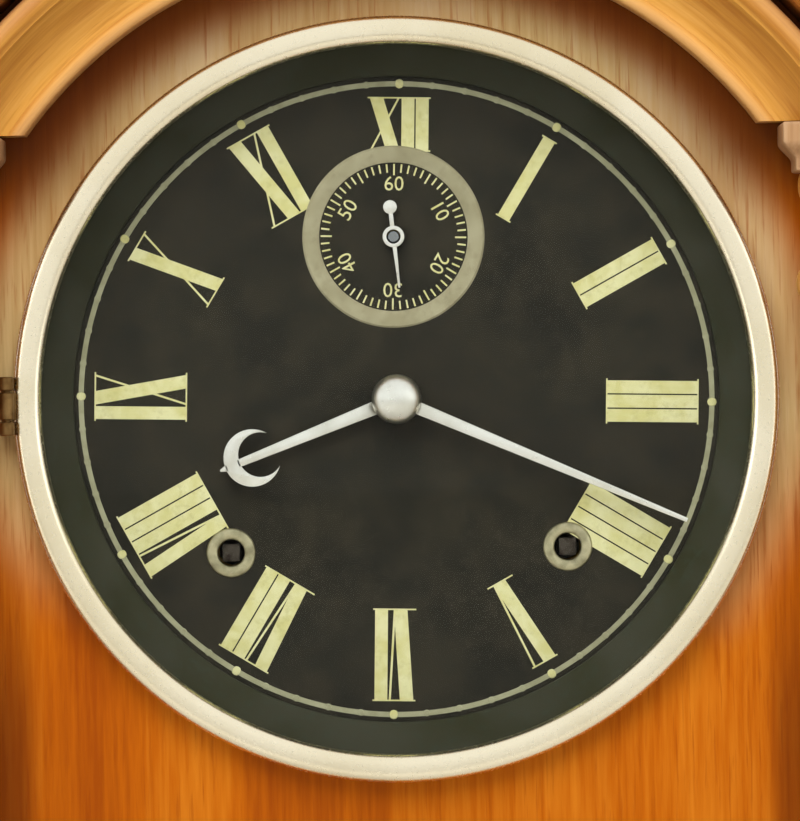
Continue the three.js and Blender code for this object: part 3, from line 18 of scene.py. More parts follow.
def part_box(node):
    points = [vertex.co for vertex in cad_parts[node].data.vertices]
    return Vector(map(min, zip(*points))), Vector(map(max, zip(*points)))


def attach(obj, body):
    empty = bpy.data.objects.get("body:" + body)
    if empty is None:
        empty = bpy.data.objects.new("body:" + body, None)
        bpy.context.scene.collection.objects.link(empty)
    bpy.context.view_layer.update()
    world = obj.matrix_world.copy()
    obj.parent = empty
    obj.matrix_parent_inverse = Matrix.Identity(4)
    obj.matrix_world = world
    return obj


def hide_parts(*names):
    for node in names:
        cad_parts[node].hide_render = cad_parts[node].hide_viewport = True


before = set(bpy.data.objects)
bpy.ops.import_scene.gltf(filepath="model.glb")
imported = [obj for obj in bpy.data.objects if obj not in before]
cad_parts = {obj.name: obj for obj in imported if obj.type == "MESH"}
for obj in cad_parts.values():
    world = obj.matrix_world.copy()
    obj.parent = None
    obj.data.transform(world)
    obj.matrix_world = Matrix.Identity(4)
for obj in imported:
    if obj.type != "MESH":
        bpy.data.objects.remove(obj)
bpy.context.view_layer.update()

LOG = logging.getLogger("calendar_clock")
MM = 0.001
MERGE_MM = 0.0005
SMOOTH_ANGLE = math.radians(38)
EDGE_ANGLE = 50.0
EDGE_SEGMENTS = 2
FIGURE_ROUNDNESS = 3
GRAIN_ATTRIBUTE = "grain"
# The grain of a bent piece is measured along this radius, in metres.
GRAIN_RADIUS = 0.1

# Minutes or seconds round a dial, and how many of them make an hour's step.
MARKS = 60
MARKS_PER_HOUR = 5
MARK_TURN = 360 / MARKS
# The seconds dial's centre stands this far above the time dial's.
SECONDS_RISE = 32.8

# Where the bands of a board turn dark, middling and light.
TONES = (0.36, 0.5, 0.64)
# The Mix node's setting for colours, and the numbers of its sockets, whose names repeat.
COLOUR_MIX = {"data_type": "RGBA"}
VALUE_A, VALUE_B = 2, 3
VECTOR_A, VECTOR_B, VECTOR_OUT = 4, 5, 1
COLOUR_A, COLOUR_B, COLOUR_OUT = 6, 7, 2

Point = tuple[float, float]
Pair = tuple[float, float]
Mesh = bmesh.types.BMesh
Material = bpy.types.Material
Tree = bpy.types.NodeTree
Socket = bpy.types.NodeSocket


class Axis(Enum):
    """The axis that a turned piece is spun about."""

    ACROSS = (1.0, 0.0, 0.0)
    DEPTH = (0.0, 1.0, 0.0)
    UPRIGHT = (0.0, 0.0, 1.0)


class Side(Enum):
    """The reader's left or right, as the sign of x there."""

    LEFT = -1
    RIGHT = 1

    @property
    def word(self) -> str:
        """The side as the first word of a name."""
        return self.name.lower()


class Slot(StrEnum):
    """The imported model's material slots."""

    CASE_WOOD = "case_wood"
    GOLDEN_WOOD = "golden_wood"
    BEZEL_NICKEL = "bezel_nickel"
    HAND_NICKEL = "hand_nickel"
    CLEAR_GLASS = "clear_glass"
    DIAL_BLACK = "dial_black"
    DRUM_PAPER = "drum_paper"
    BRASS = "brass"
    STEEL = "steel"


class Grain(Enum):
    """The way a board's grain runs, as the turn that lays it along Z in the pattern."""

    UPRIGHT = (0.0, 0.0, 0.0)
    ACROSS = (0.0, math.pi / 2, 0.0)
    INWARD = (math.pi / 2, 0.0, 0.0)
    BENT = None


# Colours and nodes


def linear(code: str) -> tuple[float, float, float, float]:
    """Turns an sRGB hex value into linear light.

    Args:
        code: A colour such as "#c08040".

    Returns:
        Red, green, blue and an alpha of one.
    """
    shares = [int(code[place : place + 2], 16) / 255 for place in (1, 3, 5)]
    light = [s / 12.92 if s <= 0.04045 else ((s + 0.055) / 1.055) ** 2.4 for s in shares]
    return light[0], light[1], light[2], 1.0


def add_node(
    tree: Tree,
    kind: str,
    settings: dict | None = None,
    inputs: dict | None = None,
    ramp: Sequence[tuple[float, str]] = (),
) -> bpy.types.Node:
    """Adds one node with its settings, its socket values and the links that feed it.

    Args:
        tree: The node tree that gets the node.
        kind: Blender's name for the node type.
        settings: Properties of the node.
        inputs: Values or feeding sockets by input name or number.
        ramp: Stops of a colour ramp as position and hex colour, from left to right.

    Returns:
        The new node.
    """
    node = tree.nodes.new(kind)
    for name, value in (settings or {}).items():
        setattr(node, name, value)
    for number, (place, code) in enumerate(ramp):
        stops = node.color_ramp.elements
        # A new ramp already holds two stops.
        stop = stops[number] if number < 2 else stops.new(place)
        stop.position = place
        stop.color = linear(code)
    for name, value in (inputs or {}).items():
        if isinstance(value, Socket):
            tree.links.new(value, node.inputs[name])
        else:
            node.inputs[name].default_value = value
    return node


def start_material(name: str) -> tuple[Material, Tree]:
    """Makes an empty node material.

    Args:
        name: What the finish is made of.

    Returns:
        The material and its cleared node tree.
    """
    material = bpy.data.materials.new(name)
    material.use_nodes = True
    material.node_tree.nodes.clear()
    return material, material.node_tree


def per_metre(size_mm: float) -> float:
    """The texture scale at which a pattern repeats about every size_mm."""
    return 1 / (size_mm * MM)


def distance_from(tree: Tree, centre_mm: Point) -> Socket:
    """Measures how far a place lies from a centre, seen from the front.

    Args:
        tree: The material's node tree.
        centre_mm: The centre, across and up.

    Returns:
        The distance in metres.
    """
    where = add_node(tree, "ShaderNodeTexCoord").outputs["Object"]
    across, up = centre_mm
    flat = {"Vector": where, "Location": (-across * MM, 0.0, -up * MM), "Scale": (1.0, 0.0, 1.0)}
    place = add_node(tree, "ShaderNodeMapping", inputs=flat).outputs["Vector"]
    return add_node(tree, "ShaderNodeVectorMath", {"operation": "LENGTH"}, {0: place}).outputs["Value"]


def within(tree: Tree, limits: Sequence[tuple[Socket, float, float]], most: float = 1.0) -> Socket:
    """Measures how far a place lies within several soft limits.

    Args:
        tree: The material's node tree.
        limits: What each one measures, and where it starts and is reached in millimetres.
        most: The share where every limit is reached.

    Returns:
        The share, from zero.
    """
    share = most
    eased = {"interpolation_type": "SMOOTHSTEP"}
    for measure, start_mm, full_mm in limits:
        reach = {"Value": measure, "From Min": start_mm * MM, "From Max": full_mm * MM, "To Max": share}
        share = add_node(tree, "ShaderNodeMapRange", eased, reach).outputs[0]
    return share


# Finishes


@dataclass(frozen=True)
class Soil:
    """Painted shadow of the columns: a darker strip on a board beside them that fades out upwards."""

    colour: str = "#5c2204"
    lit_mm: float = 72.0
    shadowed_mm: float = 77.0
    unshaded_height_mm: float = 292.0
    full_height_mm: float = 240.0
    share: float = 0.62

    def lay(self, tree: Tree, colour: Socket) -> Socket:
        """Paints the columns' shadow on the board beside them.

        Args:
            tree: The material's node tree.
            colour: The board's colour without the painted shadow.

        Returns:
            The colour with the painted shadow.
        """
        where = add_node(tree, "ShaderNodeTexCoord").outputs["Object"]
        place = add_node(tree, "ShaderNodeSeparateXYZ", inputs={"Vector": where})
        aside = add_node(tree, "ShaderNodeMath", {"operation": "ABSOLUTE"}, {0: place.outputs["X"]})
        # The strip beside the columns is painted shadow, fading out upwards.
        beside = (aside.outputs[0], self.lit_mm, self.shadowed_mm)
        below = (place.outputs["Z"], self.unshaded_height_mm, self.full_height_mm)
        shade = within(tree, (beside, below), self.share)
        mixed = {"Factor": shade, COLOUR_A: colour, COLOUR_B: linear(self.colour)}
        return add_node(tree, "ShaderNodeMix", COLOUR_MIX, mixed).outputs[COLOUR_OUT]


@dataclass(frozen=True)
class Bleach:
    """Painted sheen: paler tan wood round a dial and above a height, with a soft and uneven edge."""

    centre_mm: Point
    dark: str = "#c0a066"
    middle: str = "#d7ba80"
    light: str = "#e3cb99"
    start_height_mm: float = 262.0
    full_height_mm: float = 312.0
    waver_mm: float = 30.0
    full_radius_mm: float = 79.0
    shaded_radius_mm: float = 89.0

    def lay(self, tree: Tree, colour: Socket, figure: Socket) -> Socket:
        """Paints the sheen on the upper part of the board.

        Args:
            tree: The material's node tree.
            colour: The colour without the painted sheen.
            figure: The bands and fibres, from zero to one.

        Returns:
            The faded colour.
        """
        where = add_node(tree, "ShaderNodeTexCoord").outputs["Object"]
        place = add_node(tree, "ShaderNodeSeparateXYZ", inputs={"Vector": where})
        waver = add_node(
            tree,
            "ShaderNodeTexNoise",
            inputs={"Vector": where, "Scale": per_metre(self.waver_mm), "Detail": 2.0},
        )
        height = add_node(
            tree,
            "ShaderNodeMath",
            {"operation": "MULTIPLY_ADD"},
            {0: waver.outputs[0], 1: self.waver_mm * MM, 2: place.outputs["Z"]},
        )
        lift = self.waver_mm / 2
        above = (height.outputs[0], self.start_height_mm + lift, self.full_height_mm + lift)
        near = (distance_from(tree, self.centre_mm), self.shaded_radius_mm, self.full_radius_mm)
        # The painted sheen is full near the dial and above a height, and fades towards the arch.
        share = within(tree, (above, near))
        tones = tuple(zip(TONES, (self.dark, self.middle, self.light)))
        lit_tone = add_node(tree, "ShaderNodeValToRGB", inputs={"Fac": figure}, ramp=tones)
        mixed = {"Factor": share, COLOUR_A: colour, COLOUR_B: lit_tone.outputs["Color"]}
        return add_node(tree, "ShaderNodeMix", COLOUR_MIX, mixed).outputs[COLOUR_OUT]


@dataclass(frozen=True)
class Soot:
    """Painted shadow on a board under a bent moulding, above a height."""

    centre_mm: Point
    colour: str = "#4a1f06"
    lit_radius_mm: float = 70.0
    full_radius_mm: float = 88.0
    unshaded_height_mm: float = 342.0
    full_height_mm: float = 364.0
    share: float = 0.85

    def lay(self, tree: Tree, colour: Socket) -> Socket:
        """Paints the bent moulding's shadow on the board under it.

        Args:
            tree: The material's node tree.
            colour: The board's colour without the painted shadow.

        Returns:
            The colour with the painted shadow.
        """
        where = add_node(tree, "ShaderNodeTexCoord").outputs["Object"]
        place = add_node(tree, "ShaderNodeSeparateXYZ", inputs={"Vector": where})
        above = (place.outputs["Z"], self.unshaded_height_mm, self.full_height_mm)
        outside = (distance_from(tree, self.centre_mm), self.lit_radius_mm, self.full_radius_mm)
        # Painted shadow under the arch, darkest near the moulding.
        arch_shade = within(tree, (above, outside), self.share)
        mixed = {"Factor": arch_shade, COLOUR_A: colour, COLOUR_B: linear(self.colour)}
        return add_node(tree, "ShaderNodeMix", COLOUR_MIX, mixed).outputs[COLOUR_OUT]


@dataclass(frozen=True)
class Rub:
    """Painted highlight: paler, pinkish wood on a bent moulding's inner bead and outer roll."""

    colour: str
    inner_mm: float
    outer_mm: float
    bead_share: float = 0.17
    roll_share: float = 0.2
    core: float = 0.4
    strength: str = "#8c8c8c"
    unlit: str = "#000000"

    def lay(self, tree: Tree, colour: Socket) -> Socket:
        """Paints the highlight on the inner bead and the outer roll.

        Args:
            tree: The material's node tree.
            colour: The moulding's colour.

        Returns:
            The colour with the painted highlight.
        """
        bend = add_node(tree, "ShaderNodeAttribute", {"attribute_name": GRAIN_ATTRIBUTE})
        place = add_node(tree, "ShaderNodeSeparateXYZ", inputs={"Vector": bend.outputs["Vector"]})
        width = {"From Min": self.inner_mm * MM, "From Max": self.outer_mm * MM}
        across = add_node(tree, "ShaderNodeMapRange", inputs={"Value": place.outputs["X"], **width})
        # The painted highlight lies on the bead and on the roll.
        edges = (
            (self.core * self.bead_share, self.strength),
            (self.bead_share, self.unlit),
            (1 - self.roll_share, self.unlit),
            (1 - self.core * self.roll_share, self.strength),
        )
        share = add_node(tree, "ShaderNodeValToRGB", inputs={"Fac": across.outputs[0]}, ramp=edges)
        mixed = {"Factor": share.outputs["Color"], COLOUR_A: colour, COLOUR_B: linear(self.colour)}
        return add_node(tree, "ShaderNodeMix", COLOUR_MIX, mixed).outputs[COLOUR_OUT]


@dataclass(frozen=True)
class VarnishedWood:
    """A board under old shellac: soft bands and fibres along the grain, open pores and rubbed edges."""

    name: str
    dark: str
    middle: str
    light: str
    rubbed: str = "#d8a765"
    grain: Grain = Grain.UPRIGHT
    figure_mm: float = 24.0
    figure_range: Pair = (0.35, 0.65)
    fibre_mm: float = 1.3
    fibre_share: float = 0.4
    pore_mm: float = 0.7
    pore_range: Pair = (0.56, 0.72)
    pore_share: float = 0.5
    pore_relief: float = 0.3
    pore_depth_mm: float = 0.15
    patch_mm: float = 60.0
    patch_range: Pair = (0.45, 0.7)
    patch_share: float = 0.35
    stretch: float = 0.05
    roughness: float = 0.42
    polish: float = 0.06
    dulling: float = 0.1
    ior: float = 1.5
    specular: float = 0.2
    amber: str = "#e0a05a"
    gloss: float = 0.08
    gloss_roughness: float = 0.2
    edge_mm: float = 1.4
    edge_turn: Pair = (0.99, 0.85)
    edge_samples: int = 4
    edge_wear: float = 0.0
    mitre_facing: float = 0.4
    # Painted shadows, a painted sheen and a painted highlight, where a board has them.
    soil: Soil | None = None
    bleach: Bleach | None = None
    soot: Soot | None = None
    rub: Rub | None = None

    def material(self) -> Material:
        """Builds the wood's nodes.

        Returns:
            The finished material.
        """
        material, tree = start_material(self.name)
        where = self.turned_board(tree)
        drawn = {"Vector": where, "Scale": (1.0, 1.0, self.stretch)}
        along = add_node(tree, "ShaderNodeMapping", inputs=drawn).outputs["Vector"]
        figure = add_node(
            tree,
            "ShaderNodeTexNoise",
            inputs={"Vector": along, "Scale": per_metre(self.figure_mm), "Detail": 3.0, "Distortion": 0.8},
        ).outputs[0]
        pores = self.open_pores(tree, along)
        colour = self.board_colour(tree, where, along, figure)
        mixed = {"Factor": pores, COLOUR_A: colour, COLOUR_B: linear(self.dark)}
        colour = add_node(tree, "ShaderNodeMix", COLOUR_MIX, mixed).outputs[COLOUR_OUT]
        # The painted shadows and the painted highlight go on over the pores.
        for painted_light in (self.soil, self.soot, self.rub):
            if painted_light:
                colour = painted_light.lay(tree, colour)
        if self.edge_wear:
            colour = self.rubbed_edges(tree, colour)
        shine = add_node(
            tree,
            "ShaderNodeMapRange",
            inputs={
                "Value": figure,
                "From Min": self.figure_range[0],
                "From Max": self.figure_range[1],
                "To Min": self.roughness - self.polish,
                "To Max": self.roughness + self.dulling,
            },
        )
        relief = add_node(
            tree,
            "ShaderNodeBump",
            {"invert": True},
            {"Strength": self.pore_relief, "Distance": self.pore_depth_mm * MM, "Height": pores},
        )
        surface = add_node(
            tree,
            "ShaderNodeBsdfPrincipled",
            inputs={
                "Base Color": colour,
                "Roughness": shine.outputs[0],
                "Normal": relief.outputs["Normal"],
                "IOR": self.ior,
                "Specular IOR Level": self.specular,
                "Specular Tint": linear(self.amber),
                "Coat Weight": self.gloss,
                "Coat Roughness": self.gloss_roughness,
            },
        )
        add_node(tree, "ShaderNodeOutputMaterial", inputs={"Surface": surface.outputs[0]})
        return material

    def turned_board(self, tree: Tree) -> Socket:
        """Finds the place on the board with its grain along Z.

        Args:
            tree: The material's node tree.

        Returns:
            The place as a vector.
        """
        if self.grain is Grain.BENT:
            # The attribute runs along the bent board, so the grain follows its curve.
            bend = add_node(tree, "ShaderNodeAttribute", {"attribute_name": GRAIN_ATTRIBUTE})
            return bend.outputs["Vector"]
        where = add_node(tree, "ShaderNodeTexCoord").outputs["Object"]
        turn = {"Vector": where, "Rotation": self.grain.value}
        board = add_node(tree, "ShaderNodeMapping", inputs=turn).outputs["Vector"]
        if self.grain is not Grain.ACROSS:
            return board
        # The side lengths are mitred to the front one, so their grain runs from front to back.
        facing = add_node(tree, "ShaderNodeNewGeometry").outputs["Normal"]
        sideways = add_node(tree, "ShaderNodeSeparateXYZ", inputs={"Vector": facing}).outputs["X"]
        aside = add_node(tree, "ShaderNodeMath", {"operation": "ABSOLUTE"}, {0: sideways}).outputs[0]
        beside = {0: aside, 1: self.mitre_facing}
        mitre = add_node(tree, "ShaderNodeMath", {"operation": "GREATER_THAN"}, beside).outputs[0]
        turn = {"Vector": where, "Rotation": Grain.INWARD.value}
        length = add_node(tree, "ShaderNodeMapping", inputs=turn).outputs["Vector"]
        either = {"Factor": mitre, VECTOR_A: board, VECTOR_B: length}
        return add_node(tree, "ShaderNodeMix", {"data_type": "VECTOR"}, either).outputs[VECTOR_OUT]

    def open_pores(self, tree: Tree, along: Socket) -> Socket:
        """Scatters the short dark dashes of open pores.

        Args:
            tree: The material's node tree.
            along: The place, drawn out along the grain.

        Returns:
            How far a pore opens, from zero.
        """
        noise = add_node(
            tree,
            "ShaderNodeTexNoise",
            inputs={"Vector": along, "Scale": per_metre(self.pore_mm), "Detail": 2.0, "Roughness": 0.6},
        )
        start, full = self.pore_range
        reach = {"Value": noise.outputs[0], "From Min": start, "From Max": full, "To Max": self.pore_share}
        return add_node(tree, "ShaderNodeMapRange", inputs=reach).outputs[0]

    def board_colour(self, tree: Tree, where: Socket, along: Socket, figure: Socket) -> Socket:
        """Mixes the bands, the fibres and the uneven patches of the shellac.

        Args:
            tree: The material's node tree.
            where: The place on the board.
            along: The place, drawn out along the grain.
            figure: The broad bands, from zero to one.

        Returns:
            The board's colour.
        """
        fibres = add_node(
            tree,
            "ShaderNodeTexNoise",
            inputs={"Vector": along, "Scale": per_metre(self.fibre_mm), "Detail": 3.0, "Roughness": 0.6},
        )
        streaks = {"Factor": self.fibre_share, VALUE_A: figure, VALUE_B: fibres.outputs[0]}
        blend = add_node(tree, "ShaderNodeMix", inputs=streaks).outputs[0]
        tones = tuple(zip(TONES, (self.dark, self.middle, self.light)))
        tone = add_node(tree, "ShaderNodeValToRGB", inputs={"Fac": blend}, ramp=tones).outputs["Color"]
        # The painted sheen round the upper dial.
        if self.bleach:
            tone = self.bleach.lay(tree, tone, blend)
        patches = add_node(
            tree,
            "ShaderNodeTexNoise",
            inputs={"Vector": where, "Scale": per_metre(self.patch_mm), "Detail": 2.0},
        )
        start, full = self.patch_range
        reach = {"From Min": start, "From Max": full, "To Max": self.patch_share}
        uneven = add_node(tree, "ShaderNodeMapRange", inputs={"Value": patches.outputs[0], **reach})
        mixed = {"Factor": uneven.outputs[0], COLOUR_A: tone, COLOUR_B: linear(self.dark)}
        return add_node(tree, "ShaderNodeMix", COLOUR_MIX, mixed).outputs[COLOUR_OUT]

    def rubbed_edges(self, tree: Tree, colour: Socket) -> Socket:
        """Lightens the wood along its edges, where hands have worn the shellac.

        Args:
            tree: The material's node tree.
            colour: The board's colour.

        Returns:
            The worn colour.
        """
        samples = {"samples": self.edge_samples}
        rounded = add_node(tree, "ShaderNodeBevel", samples, {"Radius": self.edge_mm * MM})
        facing = add_node(tree, "ShaderNodeNewGeometry").outputs["Normal"]
        both = {0: rounded.outputs["Normal"], 1: facing}
        turn = add_node(tree, "ShaderNodeVectorMath", {"operation": "DOT_PRODUCT"}, both).outputs["Value"]
        flat, sharp = self.edge_turn
        worn = {"Value": turn, "From Min": flat, "From Max": sharp, "To Max": self.edge_wear}
        share = add_node(tree, "ShaderNodeMapRange", inputs=worn)
        mixed = {"Factor": share.outputs[0], COLOUR_A: colour, COLOUR_B: linear(self.rubbed)}
        return add_node(tree, "ShaderNodeMix", COLOUR_MIX, mixed).outputs[COLOUR_OUT]


@dataclass(frozen=True)
class WornMetal:
    """Polished metal gone a little dull: cloudy tarnish and fine handling marks in the shine."""

    name: str
    bright: str
    dull: str
    roughness: float
    cloud_mm: float = 14.0
    cloud_range: Pair = (0.32, 0.58)
    mark_mm: float = 1.2
    mark_range: Pair = (0.3, 0.75)
    mark_relief: float = 0.06
    mark_depth_mm: float = 0.05
    mark_polish: float = 0.3
    mark_dulling: float = 0.7
    mark_spread: float = 0.14

    def material(self) -> Material:
        """Builds the metal's nodes.

        Returns:
            The finished material.
        """
        material, tree = start_material(self.name)
        where = add_node(tree, "ShaderNodeTexCoord").outputs["Object"]
        clouds = add_node(
            tree,
            "ShaderNodeTexNoise",
            inputs={"Vector": where, "Scale": per_metre(self.cloud_mm), "Detail": 4.0},
        )
        marks = add_node(
            tree,
            "ShaderNodeTexNoise",
            inputs={"Vector": where, "Scale": per_metre(self.mark_mm), "Detail": 3.0, "Roughness": 0.7},
        )
        tones = tuple(zip(self.cloud_range, (self.dull, self.bright)))
        colour = add_node(tree, "ShaderNodeValToRGB", inputs={"Fac": clouds.outputs[0]}, ramp=tones)
        shine = add_node(
            tree,
            "ShaderNodeMapRange",
            inputs={
                "Value": marks.outputs[0],
                "From Min": self.mark_range[0],
                "From Max": self.mark_range[1],
                "To Min": self.roughness - self.mark_polish * self.mark_spread,
                "To Max": self.roughness + self.mark_dulling * self.mark_spread,
            },
        )
        handled = {"Strength": self.mark_relief, "Distance": self.mark_depth_mm * MM}
        relief = add_node(tree, "ShaderNodeBump", inputs={**handled, "Height": marks.outputs[0]})
        surface = add_node(
            tree,
            "ShaderNodeBsdfPrincipled",
            inputs={
                "Base Color": colour.outputs["Color"],
                "Metallic": 1.0,
                "Roughness": shine.outputs[0],
                "Normal": relief.outputs["Normal"],
            },
        )
        add_node(tree, "ShaderNodeOutputMaterial", inputs={"Surface": surface.outputs[0]})
        return material


@dataclass(frozen=True)
class AgedPaint:
    """Old paint or paper: clouded colour, small specks of wear and an uneven sheen."""

    name: str
    base: str
    cloud: str
    speck: str
    roughness: float
    cloud_mm: float = 7.0
    cloud_range: Pair = (0.35, 0.66)
    speck_mm: float = 1.6
    speck_range: Pair = (0.52, 0.72)
    speck_share: float = 0.3
    speck_relief: float = 0.1
    speck_depth_mm: float = 0.05
    sheen_range: Pair = (0.3, 0.7)
    sheen_spread: float = 0.07
    ior: float = 1.48
    specular: float = 0.25

    def material(self) -> Material:
        """Builds the paint's nodes.

        Returns:
            The finished material.
        """
        material, tree = start_material(self.name)
        where = add_node(tree, "ShaderNodeTexCoord").outputs["Object"]
        clouds = add_node(
            tree,
            "ShaderNodeTexNoise",
            inputs={"Vector": where, "Scale": per_metre(self.cloud_mm), "Detail": 4.0, "Distortion": 0.4},
        )
        specks = add_node(
            tree,
            "ShaderNodeTexNoise",
            inputs={"Vector": where, "Scale": per_metre(self.speck_mm), "Detail": 3.0, "Roughness": 0.65},
        )
        tones = tuple(zip(self.cloud_range, (self.base, self.cloud)))
        ground = add_node(tree, "ShaderNodeValToRGB", inputs={"Fac": clouds.outputs[0]}, ramp=tones)
        start, full = self.speck_range
        reach = {"From Min": start, "From Max": full, "To Max": self.speck_share}
        worn = add_node(tree, "ShaderNodeMapRange", inputs={"Value": specks.outputs[0], **reach})
        mixed = {COLOUR_A: ground.outputs["Color"], COLOUR_B: linear(self.speck)}
        colour = add_node(tree, "ShaderNodeMix", COLOUR_MIX, {"Factor": worn.outputs[0], **mixed})
        sheen = add_node(
            tree,
            "ShaderNodeMapRange",
            inputs={
                "Value": clouds.outputs[0],
                "From Min": self.sheen_range[0],
                "From Max": self.sheen_range[1],
                "To Min": self.roughness - self.sheen_spread,
                "To Max": self.roughness + self.sheen_spread,
            },
        )
        pitted = {"Strength": self.speck_relief, "Distance": self.speck_depth_mm * MM}
        relief = add_node(tree, "ShaderNodeBump", inputs={**pitted, "Height": specks.outputs[0]})
        surface = add_node(
            tree,
            "ShaderNodeBsdfPrincipled",
            inputs={
                "Base Color": colour.outputs[COLOUR_OUT],
                "Roughness": sheen.outputs[0],
                "Normal": relief.outputs["Normal"],
                "IOR": self.ior,
                "Specular IOR Level": self.specular,
            },
        )
        add_node(tree, "ShaderNodeOutputMaterial", inputs={"Surface": surface.outputs[0]})
        return material


@dataclass(frozen=True)
class WindowGlass:
    """Clear blown glass: it mirrors the room a little and lets lamps reach the dial behind it."""

    name: str
    tint: str
    roughness: float = 0.02
    ripple_mm: float = 30.0
    ripple_relief: float = 0.02
    ripple_depth_mm: float = 0.2
    # Window glass is 1.5, which in an all-white room would lay a grey veil on the black dial.
    ior: float = 1.09

    def material(self) -> Material:
        """Builds the glass's nodes.

        Returns:
            The finished material.
        """
        material, tree = start_material(self.name)
        where = add_node(tree, "ShaderNodeTexCoord").outputs["Object"]
        ripple = add_node(
            tree,
            "ShaderNodeTexNoise",
            inputs={"Vector": where, "Scale": per_metre(self.ripple_mm), "Detail": 1.0},
        )
        blown = {"Strength": self.ripple_relief, "Distance": self.ripple_depth_mm * MM}
        relief = add_node(tree, "ShaderNodeBump", inputs={**blown, "Height": ripple.outputs[0]})
        surface = add_node(
            tree,
            "ShaderNodeBsdfPrincipled",
            inputs={
                "Base Color": linear(self.tint),
                "Roughness": self.roughness,
                "IOR": self.ior,
                "Transmission Weight": 1.0,
                "Normal": relief.outputs["Normal"],
            },
        )
        lamp_ray = add_node(tree, "ShaderNodeLightPath").outputs["Is Shadow Ray"]
        clear = add_node(tree, "ShaderNodeBsdfTransparent", inputs={"Color": linear(self.tint)})
        either = {"Fac": lamp_ray, 1: surface.outputs[0], 2: clear.outputs[0]}
        both = add_node(tree, "ShaderNodeMixShader", inputs=either)
        add_node(tree, "ShaderNodeOutputMaterial", inputs={"Surface": both.outputs[0]})
        return material


